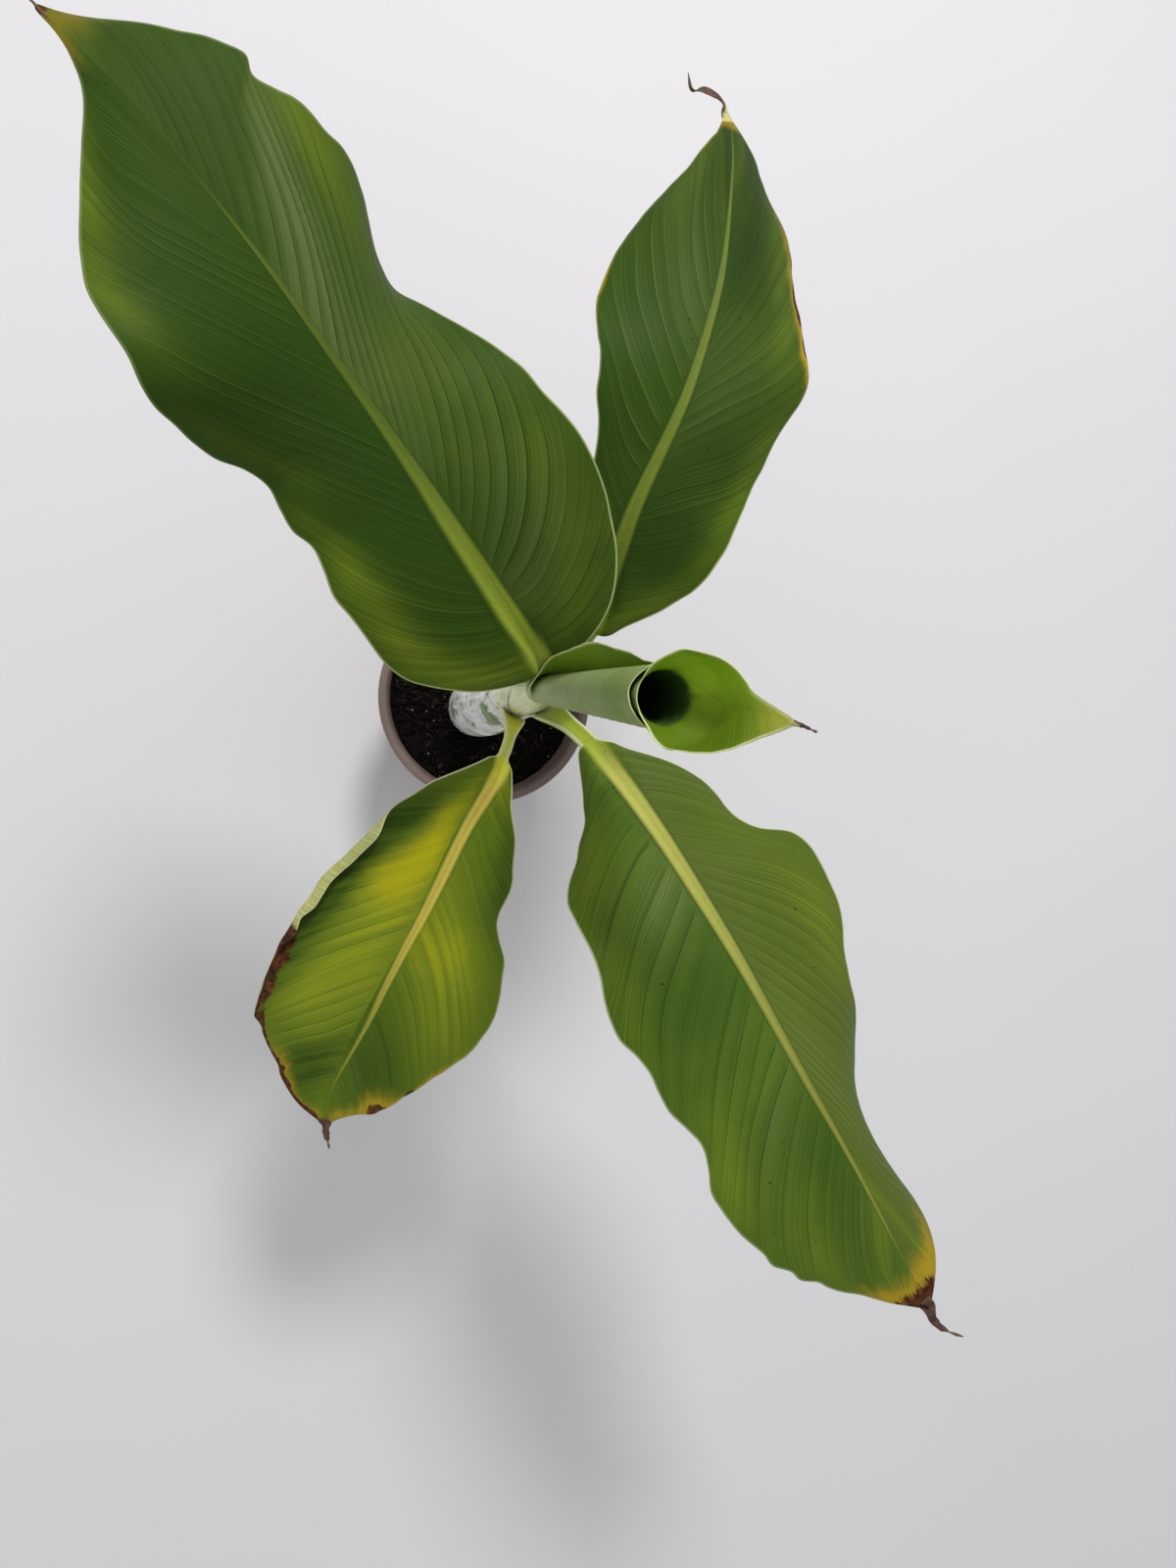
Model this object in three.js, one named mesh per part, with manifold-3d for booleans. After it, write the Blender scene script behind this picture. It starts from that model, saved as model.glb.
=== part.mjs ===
// A young snow banana in its nursery pot: a waxy pseudostem, four spread leaves on short
// petioles and one new leaf that is still rolled.
// Lengths are millimetres and angles degrees. +Z is up, and the origin is the centre of the
// pot's flat underside. Azimuths run from +X towards +Y.

import * as THREE from 'three';
import { mergeVertices } from 'three/addons/utils/BufferGeometryUtils.js';
import Module from 'manifold-3d';

const wasm = await Module();
wasm.setup();

// Driving dimensions
const GAP = 0.3;
const CLEARANCE = 0.5;

const POT = {
  height: 140,
  rimRadius: 85,
  rimWidth: 7,
  rimSkirt: 18,
  footRadius: 60,
  wall: 1.8,
  floor: 2.5,
  lip: 2,
  chamfer: 2,
  draft: 0.5,
  round: 1,
  segments: 56,
  drainHoles: 8,
  drainRadius: 4,
  drainCircle: 44,
};

const MIX = { edgeHeight: 121.5, topHeight: 124, flatRadius: 30, clearance: 0.4 };

const STEM = {
  foot: [-5, -8, MIX.topHeight + GAP],
  top: [-4, -6, 350],
  radii: [20.4, 21, 20.2, 18.8, 17.4, 15.9, 14.2, 12.4],
  facets: 32,
  rings: 27,
  edgeLength: 7,
  // Each sheath wraps the stem below a slanting edge, highest at its own azimuth.
  sheaths: [
    { azimuth: 20, low: 165, high: 215, step: 0.9 },
    { azimuth: 215, low: 205, high: 262, step: 0.9 },
    { azimuth: 75, low: 250, high: 318, step: 0.8 },
  ],
};

// A leaf's rib runs from the petiole's foot on the stem to the leaf's tip. Its blade is drawn
// by half-widths at eleven even stations from the blade's base to its tip, by the angle at which
// each half leaves the rib, and by the angle that it has reached at its margin.
const LEAVES = [
  {
    name: '1',
    facing: 137,
    footHeight: 322,
    neck: 7.5,
    stalk: 78,
    rib: [[-16, 5, 400], [-54, 40, 452], [-89, 73, 482], [-132, 112, 508], [-172, 149, 530],
      [-214, 188, 538], [-254, 225, 526]],
    tip: [[-260, 231, 523], [-266, 235, 519]],
    tipRadius: 1.8,
    left: {
      width: [7, 44, 66, 69, 66, 69, 69, 58, 35, 12, 2],
      rise: [15, 8, 4, 6, 0],
      edge: [-15, -20, -28, -22, -42, -42, 5, -5, -20, -20, -20],
    },
    right: {
      width: [7, 50, 69, 75, 73, 73, 71, 61, 48, 28, 2],
      rise: [15, 10, -8, -8, 0],
      edge: [60, 32, 15, 5, -22, -70, -45, -25, -20, -20, -40],
    },
    thickness: 4,
    colour: 0x4c7a1c,
  },
  {
    name: '2',
    facing: 76,
    footHeight: 318,
    neck: 7,
    stalk: 86,
    rib: [[12, 25, 400], [18, 62, 433], [23, 102, 456], [37, 142, 470], [53, 200, 466],
      [66, 276, 438], [71, 320, 413]],
    tip: [[69, 331, 408], [60, 337, 405], [51, 334, 407], [47, 341, 410]],
    tipRadius: 3.4,
    left: {
      width: [7, 18, 26, 33, 49, 58, 52, 41, 27, 13, 2],
      rise: [15, 8, 6, 6, 0],
      edge: [-25, -28, -27, -28, -18, -35, -38, -42, -41, -35, -34],
    },
    right: {
      width: [7, 34, 52, 59, 61, 61, 54, 45, 34, 20, 2],
      rise: [15, 8, 2, 2, 0],
      edge: [-22, -17, -8, -27, -38, -22, -32, -30, -30, -30, 0],
    },
    thickness: 3.8,
    colour: 0x4a7f20,
  },
  {
    name: '3',
    facing: 302,
    footHeight: 316,
    neck: 7.5,
    stalk: 88,
    rib: [[16, -38, 400], [43, -82, 446], [80, -139, 474], [122, -209, 490], [164, -273, 494],
      [202, -330, 487]],
    tip: [[208, -339, 483], [218, -347, 480], [230, -352, 479]],
    tipRadius: 2.2,
    left: {
      width: [7, 29, 50, 65, 71, 68, 66, 57, 42, 27, 2],
      rise: [15, 6, -6, -22, 0],
      edge: [-60, -35, -48, -27, -30, -48, -78, -100, -80, -43, -5],
    },
    right: {
      width: [7, 28, 52, 66, 72, 68, 68, 65, 49, 28, 2],
      rise: [15, 8, 4, 4, 0],
      edge: [-27, -75, -40, 10, -18, -10, -5, -20, -20, -23, -10],
    },
    thickness: 4.2,
    colour: 0x4f8424,
  },
  {
    name: '4',
    facing: 247,
    footHeight: 286,
    neck: 5.2,
    stalk: 66,
    rib: [[-22, -49, 343], [-45, -92, 336], [-71, -161, 322], [-99, -228, 305], [-113, -270, 292],
      [-112, -292, 284]],
    tip: [[-110, -302, 281], [-108, -309, 279]],
    tipRadius: 1.8,
    left: {
      width: [6, 20, 38, 50, 62, 72, 71, 61, 48, 30, 2],
      rise: [15, 6, 2, 0, 0],
      edge: [-24, -20, -16, -30, -30, 5, 4, -5, -8, 5, 20],
    },
    right: {
      width: [6, 20, 33, 43, 55, 58, 58, 54, 42, 23, 2],
      rise: [15, 6, 4, 4, 0],
      edge: [-4, -9, -12, -8, -10, -10, -5, 0, -10, -18, -22],
    },
    thickness: 3,
    colour: 0x7c9a1d,
  },
];

// The new leaf is rolled into a trumpet about an axis from the stem's top. Its rim is low on
// the near side, at azimuth 180, and runs up on both sides to a pointed tip at azimuth 0, by
// shares of the tip's height at even azimuths. One margin stands off the roll as a flap, whose
// end angle and reach are given at even heights.
const ROLL = {
  mouth: [5, -20.8, 560],
  footRadius: 8.2,
  mouthRadius: 14.4,
  spoonRadius: 20.7,
  flareHeight: 14,
  core: 26,
  tipRise: 78,
  rim: {
    left: [0, 0, 0.02, 0.05, 0.08, 0.1, 0.14, 0.25, 0.39, 0.45, 0.49, 0.58, 1],
    right: [0, 0.02, 0.04, 0.05, 0.07, 0.12, 0.25, 0.4, 0.49, 0.57, 0.68, 0.84, 1],
  },
  tipSway: -5.5,
  wall: 3.1,
  facets: 26,
  rows: 15,
  tip: [[27.5, -31.6, 634], [29, -33, 641], [31, -35, 647]],
  tipRadius: 1.8,
  flap: {
    start: 50,
    low: 366,
    high: 556,
    end: [215, 150, 124, 108, 98, 92, 90, 100],
    reach: [2, 5, 10.5, 13, 13, 8.5, 3, 0],
    rows: 12,
    columns: 9,
  },
};

const BLADE_ROWS = 34;
const PETIOLE_STEPS = 12;
const ARC_SIDES = 7;

const THREAD_SIDES = 6;
const TIP_ROOT = 0.98;
const THREAD_END = 0.9;
const NECK = { thickness: 5, spread: 70 };

const up = new THREE.Vector3(0, 0, 1);
const { degToRad: rad, lerp, smoothstep } = THREE.MathUtils;
const vec = (p) => new THREE.Vector3(p[0], p[1], p[2]);

// Turns a closed geometry into a solid for cutting and joining.
function solid(geometry) {
  const bare = geometry.clone();
  bare.deleteAttribute('normal');
  bare.deleteAttribute('uv');
  const merged = mergeVertices(bare, 1e-4);
  return new wasm.Manifold(new wasm.Mesh({
    numProp: 3,
    vertProperties: new Float32Array(merged.attributes.position.array),
    triVerts: new Uint32Array(merged.index.array),
  }));
}

// Turns a solid back into a geometry, keeping only its largest piece.
function geometryOf(body) {
  const pieces = body.decompose();
  pieces.sort((a, b) => b.volume() - a.volume());
  const mesh = pieces[0].getMesh();
  const geometry = new THREE.BufferGeometry();
  geometry.setAttribute('position', new THREE.BufferAttribute(mesh.vertProperties, 3));
  geometry.setIndex(new THREE.BufferAttribute(mesh.triVerts, 1));
  geometry.computeVertexNormals();
  return geometry;
}

// The space that a body takes with some clearance around it.
function room(body) {
  const moves = [-CLEARANCE, CLEARANCE].flatMap((d) => [[d, 0, 0], [0, d, 0], [0, 0, d]]);
  return wasm.Manifold.union([body, ...moves.map((move) => body.translate(move))]);
}

// Reads a list of values, evenly spaced over 0 to 1, as a smooth curve.
function along(values, u) {
  const last = values.length - 1;
  const x = Math.min(Math.max(u, 0), 1) * last;
  const i = Math.min(Math.floor(x), last - 1);
  const t = x - i;
  const p1 = values[i];
  const p2 = values[i + 1];
  const p0 = i > 0 ? values[i - 1] : 2 * p1 - p2;
  const p3 = i + 2 <= last ? values[i + 2] : 2 * p2 - p1;
  const m1 = (p2 - p0) / 2;
  const m2 = (p3 - p1) / 2;
  const t2 = t * t;
  const t3 = t2 * t;
  return (2 * t3 - 3 * t2 + 1) * p1 + (t3 - 2 * t2 + t) * m1
    + (3 * t2 - 2 * t3) * p2 + (t3 - t2) * m2;
}

// Joins equal rings of points into one closed body. The rings turn anticlockwise seen from
// the far end.
function loft(rings) {
  const count = rings[0].length;
  const points = rings.flat();
  const faces = [];
  for (let i = 0; i + 1 < rings.length; i += 1) {
    for (let j = 0; j < count; j += 1) {
      const a = i * count + j;
      const b = i * count + ((j + 1) % count);
      faces.push(a, b, b + count, a, b + count, a + count);
    }
  }
  const ends = [rings[0], rings[rings.length - 1]];
  ends.forEach((ring, end) => {
    const middle = new THREE.Vector3();
    ring.forEach((p) => middle.addScaledVector(p, 1 / count));
    points.push(middle);
    const hub = points.length - 1;
    const first = end === 0 ? 0 : (rings.length - 1) * count;
    for (let j = 0; j < count; j += 1) {
      const a = first + j;
      const b = first + ((j + 1) % count);
      if (end === 0) faces.push(hub, b, a);
      else faces.push(hub, a, b);
    }
  });
  return bodyFrom(points, faces);
}

function bodyFrom(points, faces) {
  const geometry = new THREE.BufferGeometry().setFromPoints(points);
  geometry.setIndex(faces);
  geometry.computeVertexNormals();
  return geometry;
}

// Pseudostem
const stemFoot = vec(STEM.foot);
const stemTop = vec(STEM.top);
const stemSpan = stemTop.z - stemFoot.z;

function stemAxis(height) {
  return stemFoot.clone().lerp(stemTop, (height - stemFoot.z) / stemSpan);
}

function stemRadius(height, azimuth) {
  let radius = along(STEM.radii, (height - stemFoot.z) / stemSpan);
  STEM.sheaths.forEach((sheath) => {
    const facing = (1 + Math.cos(rad(azimuth - sheath.azimuth))) / 2;
    const edge = lerp(sheath.low, sheath.high, facing);
    radius += sheath.step * smoothstep(edge - height, 0, STEM.edgeLength);
  });
  return radius;
}

function stemGeometry(extra = 0) {
  const rings = [];
  for (let i = 0; i < STEM.rings; i += 1) {
    const height = stemFoot.z + (stemSpan * i) / (STEM.rings - 1);
    const centre = stemAxis(height);
    const ring = [];
    for (let j = 0; j < STEM.facets; j += 1) {
      const azimuth = (360 * j) / STEM.facets;
      const radius = stemRadius(height, azimuth) + extra;
      ring.push(new THREE.Vector3(
        centre.x + radius * Math.cos(rad(azimuth)),
        centre.y + radius * Math.sin(rad(azimuth)),
        height,
      ));
    }
    rings.push(ring);
  }
  return loft(rings);
}

// Leaf ribs and frames
const FOOT = { thickness: 3.4, spread: 26, hug: 22, lean: 0.6, closed: 0.8 };

function ribCurve(leaf) {
  const out = new THREE.Vector3(Math.cos(rad(leaf.facing)), Math.sin(rad(leaf.facing)), 0);
  const reach = stemRadius(leaf.footHeight, leaf.facing) + GAP + FOOT.thickness / 2;
  const foot = stemAxis(leaf.footHeight).addScaledVector(out, reach);
  const hug = stemAxis(leaf.footHeight + FOOT.hug).addScaledVector(out, reach + FOOT.lean);
  const curve = new THREE.CatmullRomCurve3([foot, hug, ...leaf.rib.map(vec)], false, 'centripetal');
  curve.arcLengthDivisions = 400;
  return curve;
}

// Left, up and forward directions of the rib at one place.
function frameAt(curve, place, facing) {
  const forward = curve.getTangentAt(place);
  const left = new THREE.Vector3(-Math.sin(rad(facing)), Math.cos(rad(facing)), 0);
  left.addScaledVector(forward, -forward.dot(left)).normalize();
  const above = new THREE.Vector3().crossVectors(forward, left);
  return { origin: curve.getPointAt(place), forward, left, above };
}

function place(frame, across, height, ahead = 0) {
  return frame.origin.clone()
    .addScaledVector(frame.left, across)
    .addScaledVector(frame.above, height)
    .addScaledVector(frame.forward, ahead);
}

// Petioles: a crescent that hugs the stem at its foot and closes to a channel at the blade.
function petioleGeometry(leaf) {
  const curve = ribCurve(leaf);
  const whole = curve.getLength();
  const footRadius = stemRadius(leaf.footHeight, leaf.facing) + GAP + FOOT.thickness;
  const rings = [];
  for (let i = 0; i <= PETIOLE_STEPS; i += 1) {
    const t = i / PETIOLE_STEPS;
    const frame = frameAt(curve, ((leaf.stalk - GAP) * t) / whole, leaf.facing);
    const closing = smoothstep(t, 0, FOOT.closed);
    const radius = lerp(footRadius, leaf.neck, closing);
    const thick = lerp(FOOT.thickness, NECK.thickness, t);
    const spread = rad(lerp(FOOT.spread, NECK.spread, closing));
    const arc = (reach) => Array.from({ length: ARC_SIDES + 1 }, (_, j) => {
      const a = spread * ((2 * j) / ARC_SIDES - 1);
      return place(frame, reach * Math.sin(a), radius - thick / 2 - reach * Math.cos(a));
    });
    rings.push([...arc(radius), ...arc(radius - thick).reverse()]);
  }
  return loft(rings);
}

// Blades: one thick sheet on both sides of the rib, with a keel under the rib.
const COLUMNS = [0.34, 0.6, 0.82, 1];
const SECTION_STEPS = 25;
const SWEEP = { base: -0.3, tip: 0.35, full: 0.7 };
const RIB = { base: 0.9, tip: 1.2, keel: 0.75, limit: 0.3 };
const THINNING = { from: 0.92, to: 0.6 };

function halfSection(half, u, ribHalf, side) {
  const width = along(half.width, u);
  const rise = rad(along(half.rise, u));
  const turn = rad(along(half.edge, u)) - rise;
  const found = [];
  let across = 0;
  let lift = 0;
  let done = 0;
  [Math.min(ribHalf / width, RIB.limit), ...COLUMNS].forEach((stop) => {
    const step = (stop - done) / SECTION_STEPS;
    for (let k = 0; k < SECTION_STEPS; k += 1) {
      const angle = rise + turn * (done + step * (k + 0.5));
      across += width * step * Math.cos(angle);
      lift += width * step * Math.sin(angle);
    }
    done = stop;
    const spare = width - half.width[0];
    found.push({ across: side * across, lift, angle: side * (rise + turn * stop), v: stop, spare });
  });
  return found;
}

function bladeGeometry(leaf) {
  const curve = ribCurve(leaf);
  const whole = curve.getLength();
  const start = leaf.stalk / whole;
  const upper = [];
  const lower = [];
  for (let i = 0; i <= BLADE_ROWS; i += 1) {
    const u = i / BLADE_ROWS;
    const frame = frameAt(curve, start + (1 - start) * u, leaf.facing);
    const ribHalf = lerp(RIB.base * leaf.neck, RIB.tip, Math.sqrt(u));
    const sweep = lerp(SWEEP.base, SWEEP.tip, smoothstep(u, 0, SWEEP.full));
    const thin = leaf.thickness * lerp(1, THINNING.to, smoothstep(u, THINNING.from, 1));
    const left = halfSection(leaf.left, u, ribHalf, 1).reverse();
    const right = halfSection(leaf.right, u, ribHalf, -1);
    const middle = { across: 0, lift: 0, angle: 0, v: 0, spare: 0 };
    const top = [];
    const bottom = [];
    [...left, middle, ...right].forEach((at) => {
      const ahead = sweep * at.spare * at.v * at.v;
      const sin = (Math.sin(at.angle) * thin) / 2;
      const cos = (Math.cos(at.angle) * thin) / 2;
      const keel = at.v === 0 ? ribHalf * RIB.keel : 0;
      top.push(place(frame, at.across - sin, at.lift + cos, ahead));
      bottom.push(place(frame, at.across + sin, at.lift - cos - keel, ahead));
    });
    upper.push(top);
    lower.push(bottom);
  }
  return sheet(upper, lower);
}

// A dried tip: a thread along a few points that tapers away from its root.
function threadGeometry(points, rootRadius) {
  const curve = new THREE.CatmullRomCurve3(points, false, 'centripetal');
  const steps = 3 * (points.length - 1);
  const rings = [];
  for (let i = 0; i <= steps; i += 1) {
    const t = i / steps;
    const forward = curve.getTangent(t);
    const left = new THREE.Vector3().crossVectors(up, forward).normalize();
    const frame = { origin: curve.getPoint(t), forward, left, above: forward.clone().cross(left) };
    const radius = lerp(rootRadius, THREAD_END, Math.sqrt(t));
    const ring = [];
    for (let j = 0; j < THREAD_SIDES; j += 1) {
      const a = (2 * Math.PI * j) / THREAD_SIDES;
      ring.push(place(frame, radius * Math.cos(a), radius * Math.sin(a)));
    }
    rings.push(ring);
  }
  return loft(rings);
}

// New leaf
const rollFoot = stemTop.clone().setZ(stemTop.z + GAP);
const rollSpan = ROLL.mouth[2] - rollFoot.z;

function rollAxis(height) {
  return rollFoot.clone().lerp(vec(ROLL.mouth), (height - rollFoot.z) / rollSpan);
}

function rollRadius(height) {
  const t = (height - rollFoot.z) / rollSpan;
  const tight = lerp(ROLL.footRadius, ROLL.mouthRadius, Math.min(t, 1));
  const flare = smoothstep(height - ROLL.mouth[2], 0, ROLL.flareHeight);
  return tight + flare * (ROLL.spoonRadius - ROLL.mouthRadius);
}

function rollPoint(height, azimuth, radius, sway = 0) {
  const point = rollAxis(height);
  point.x += radius * Math.cos(rad(azimuth));
  point.y += radius * Math.sin(rad(azimuth)) + sway;
  return point;
}

function rimHeight(azimuth) {
  const side = azimuth < 180 ? ROLL.rim.left : ROLL.rim.right;
  return ROLL.mouth[2] + ROLL.tipRise * along(side, Math.abs(1 - azimuth / 180));
}

function trumpetGeometry() {
  const ring = (share, inner) => {
    const points = [];
    for (let j = 0; j < ROLL.facets; j += 1) {
      const azimuth = (360 * j) / ROLL.facets;
      const low = inner ? rollFoot.z + ROLL.core : rollFoot.z;
      const height = lerp(low, rimHeight(azimuth), share);
      const over = Math.max(height - ROLL.mouth[2], 0) / ROLL.tipRise;
      const radius = rollRadius(height) - (inner ? ROLL.wall : 0);
      points.push(rollPoint(height, azimuth, radius, ROLL.tipSway * over * over));
    }
    return points;
  };
  const rings = [];
  for (let i = 0; i <= ROLL.rows; i += 1) rings.push(ring(i / ROLL.rows, false));
  for (let i = ROLL.rows; i >= 0; i -= 1) rings.push(ring(i / ROLL.rows, true));
  return loft(rings);
}

function flapGeometry() {
  const { flap } = ROLL;
  const half = ROLL.wall / 2;
  const inside = [];
  const outside = [];
  for (let i = 0; i <= flap.rows; i += 1) {
    const u = i / flap.rows;
    const height = lerp(flap.low, flap.high, u);
    const end = along(flap.end, u);
    const reach = along(flap.reach, u);
    const inner = [];
    const outer = [];
    for (let j = 0; j <= flap.columns; j += 1) {
      const v = j / flap.columns;
      const azimuth = lerp(flap.start, end, v);
      const radius = rollRadius(height) - ROLL.wall / 2 + (reach + ROLL.wall / 2) * v;
      inner.push(rollPoint(height, azimuth, radius - half));
      outer.push(rollPoint(height, azimuth, radius + half));
    }
    inside.push(inner);
    outside.push(outer);
  }
  return sheet(outside, inside);
}

// Closes two equal grids of points into one body. Rows run forward and columns to the right.
function sheet(upper, lower) {
  const rows = upper.length;
  const columns = upper[0].length;
  const points = [...upper.flat(), ...lower.flat()];
  const under = rows * columns;
  const faces = [];
  const quad = (a, b, c, d) => faces.push(a, b, c, a, c, d);
  for (let i = 0; i + 1 < rows; i += 1) {
    for (let j = 0; j + 1 < columns; j += 1) {
      const a = i * columns + j;
      quad(a, a + 1, a + 1 + columns, a + columns);
      quad(under + a, under + a + columns, under + a + 1 + columns, under + a + 1);
    }
    const first = i * columns;
    const last = first + columns - 1;
    quad(first, first + columns, under + first + columns, under + first);
    quad(last, under + last, under + last + columns, last + columns);
  }
  for (let j = 0; j + 1 < columns; j += 1) {
    const far = (rows - 1) * columns + j;
    quad(j, under + j, under + j + 1, j + 1);
    quad(far, far + 1, under + far + 1, under + far);
  }
  return bodyFrom(points, faces);
}

// Pot and potting mix
function potInner(height) {
  const top = POT.rimRadius - POT.rimWidth;
  const bottom = POT.footRadius - POT.wall;
  return lerp(bottom, top, (height - POT.floor) / (POT.height - POT.floor));
}

function lathe(profile) {
  const points = profile.map(([r, z]) => new THREE.Vector2(r, z));
  const geometry = new THREE.LatheGeometry(points, POT.segments);
  geometry.rotateX(Math.PI / 2);
  return geometry;
}

function potGeometry() {
  const top = POT.height;
  const lip = top - POT.lip;
  const hem = top - POT.rimSkirt;
  const skirt = POT.rimRadius - POT.wall;
  const shell = solid(lathe([
    [0, 0],
    [POT.footRadius - POT.chamfer, 0],
    [POT.footRadius, POT.chamfer],
    [potInner(lip) + POT.wall, lip],
    [skirt, lip],
    [skirt - POT.draft, hem],
    [POT.rimRadius - POT.draft, hem],
    [POT.rimRadius, top - POT.round],
    [POT.rimRadius - POT.round, top],
    [potInner(top) + POT.round, top],
    [potInner(top - POT.round), top - POT.round],
    [potInner(POT.floor), POT.floor],
    [0, POT.floor],
  ]));
  const drill = new THREE.CylinderGeometry(POT.drainRadius, POT.drainRadius, 3 * POT.floor, 16);
  drill.rotateX(Math.PI / 2);
  let pot = shell;
  for (let i = 0; i < POT.drainHoles; i += 1) {
    const a = (2 * Math.PI * (i + 0.5)) / POT.drainHoles;
    const hole = drill.clone();
    hole.translate(POT.drainCircle * Math.cos(a), POT.drainCircle * Math.sin(a), POT.floor / 2);
    pot = pot.subtract(solid(hole));
  }
  return geometryOf(pot);
}

function mixGeometry() {
  const base = POT.floor + GAP;
  return lathe([
    [0, base],
    [potInner(base) - MIX.clearance, base],
    [potInner(MIX.edgeHeight) - MIX.clearance, MIX.edgeHeight],
    [MIX.flatRadius, MIX.topHeight],
    [0, MIX.topHeight],
  ]);
}

// Assembly
const plant = new THREE.Group();

function add(name, geometry, colour, roughness) {
  const material = new THREE.MeshStandardMaterial({ color: colour, roughness, metalness: 0 });
  const mesh = new THREE.Mesh(geometry, material);
  mesh.name = name;
  plant.add(mesh);
}

add('pot', potGeometry(), 0x7d6b62, 0.6);
add('potting_mix', mixGeometry(), 0x1d1510, 1);
add('pseudostem', stemGeometry(), 0xc9d4c2, 0.6);

let newLeaf = solid(trumpetGeometry()).add(solid(flapGeometry()));
newLeaf = newLeaf.add(solid(threadGeometry(ROLL.tip.map(vec), ROLL.tipRadius)));
const taken = solid(stemGeometry(GAP)).add(room(newLeaf));
LEAVES.forEach((leaf) => {
  const petiole = solid(petioleGeometry(leaf)).subtract(taken);
  add(`petiole_${leaf.name}`, geometryOf(petiole), 0x9db53a, 0.5);
  const root = ribCurve(leaf).getPointAt(TIP_ROOT);
  const thread = threadGeometry([root, ...leaf.tip.map(vec)], leaf.tipRadius);
  const blade = solid(bladeGeometry(leaf)).add(solid(thread));
  add(`leaf_${leaf.name}`, geometryOf(blade), leaf.colour, 0.5);
  newLeaf = newLeaf.subtract(room(blade));
});
add('new_leaf', geometryOf(newLeaf), 0x5f9a1e, 0.45);

export default plant;
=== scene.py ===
# %% [markdown]
# A young snow banana in its nursery pot, seen from above. The plant is a few big things: a
# waxy pseudostem, four broad leaves on short petioles and one new leaf that is still rolled.
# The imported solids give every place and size. This lesson dresses them: each leaf is drawn
# again by the rule that its solid follows, but thin, pleated and coloured like a living leaf.

import math

import bpy
import numpy as np
from mathutils import Matrix, Vector


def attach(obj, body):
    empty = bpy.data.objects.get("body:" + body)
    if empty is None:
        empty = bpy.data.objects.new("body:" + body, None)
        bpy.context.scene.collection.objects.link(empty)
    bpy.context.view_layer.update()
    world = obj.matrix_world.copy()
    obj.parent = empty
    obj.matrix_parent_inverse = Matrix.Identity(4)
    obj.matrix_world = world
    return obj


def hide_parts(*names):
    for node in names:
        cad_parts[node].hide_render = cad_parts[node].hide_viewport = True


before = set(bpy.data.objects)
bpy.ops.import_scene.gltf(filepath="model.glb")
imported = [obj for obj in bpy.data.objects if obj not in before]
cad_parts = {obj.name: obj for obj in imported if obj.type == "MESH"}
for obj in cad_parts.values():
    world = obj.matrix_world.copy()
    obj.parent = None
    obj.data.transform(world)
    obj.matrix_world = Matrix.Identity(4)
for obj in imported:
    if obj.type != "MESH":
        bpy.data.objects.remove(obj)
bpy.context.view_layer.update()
MM = 0.001
print("nodes in the frame:", sorted(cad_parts))

# %% [markdown]
# The camera hangs almost straight over the plant and leans a little to the right. Its place
# and turn were solved from known lengths, so they are numbers and not a look-at rule. The lens
# is a wide one, which makes the high leaves look much larger than the pot.

# %% Camera
CAMERA_PLACE = (-0.13907, -0.05311, 0.97783)
CAMERA_RIGHT = (0.96344909, 0.06277482, 0.26043268)
CAMERA_UP = (-0.05720138, 0.99794333, -0.02893299)
CAMERA_BACK = (-0.26171332, 0.01297835, 0.96505839)
camera_data = bpy.data.cameras.new("camera")
camera_data.sensor_fit = "VERTICAL"
camera_data.sensor_height = 36
camera_data.lens = 24.217
camera_data.clip_start = 0.01
camera = bpy.data.objects.new("camera", camera_data)
turn = Matrix((CAMERA_RIGHT, CAMERA_UP, CAMERA_BACK)).transposed()
camera.matrix_world = Matrix.Translation(CAMERA_PLACE) @ turn.to_4x4()
bpy.context.scene.collection.objects.link(camera)
bpy.context.scene.camera = camera
print("camera height", CAMERA_PLACE[2], "m")

# %% [markdown]
# Everything here is a grid of points bent into shape, so a few small helpers do most of the
# work. One reads a short list of values as a smooth curve, others ease, mix or round off a
# value, and one turns rings of points into a mesh that carries its own measured attributes.


# %% Smooth values
def along(values, u):
    """Reads evenly spaced values over 0 to 1 as a smooth curve."""
    v = np.asarray(values, float)
    last = len(v) - 1
    x = np.clip(u, 0, 1) * last
    i = np.minimum(np.floor(x).astype(int), last - 1)
    t = x - i
    p1, p2 = v[i], v[i + 1]
    p0 = np.where(i > 0, v[np.maximum(i - 1, 0)], 2 * p1 - p2)
    p3 = np.where(i + 2 <= last, v[np.minimum(i + 2, last)], 2 * p2 - p1)
    m1, m2 = (p2 - p0) / 2, (p3 - p1) / 2
    near = (2 * t**3 - 3 * t**2 + 1) * p1 + (t**3 - 2 * t**2 + t) * m1
    return near + (3 * t**2 - 2 * t**3) * p2 + (t**3 - t**2) * m2


def ease(x, low, high):
    """0 below low, 1 above high, smooth between."""
    t = np.clip((x - low) / (high - low), 0, 1)
    return t * t * (3 - 2 * t)


def mix(a, b, t):
    return a + (b - a) * t


def window(x, low, high, soft):
    """1 between low and high, falling to 0 over soft on both sides."""
    return ease(x, low - soft, low) * (1 - ease(x, high, high + soft))


def bell(x):
    """1 at 0, dying away on both sides; x is in widths of the bell."""
    return np.exp(-(x**2))


def dome(x):
    """A half circle: 1 at 0 and 0 from 1 on."""
    return np.sqrt(np.clip(1 - x**2, 0, 1))


print("a smooth reading of 0, 1, 0 at the middle:", float(along([0, 1, 0], 0.5)))


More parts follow.
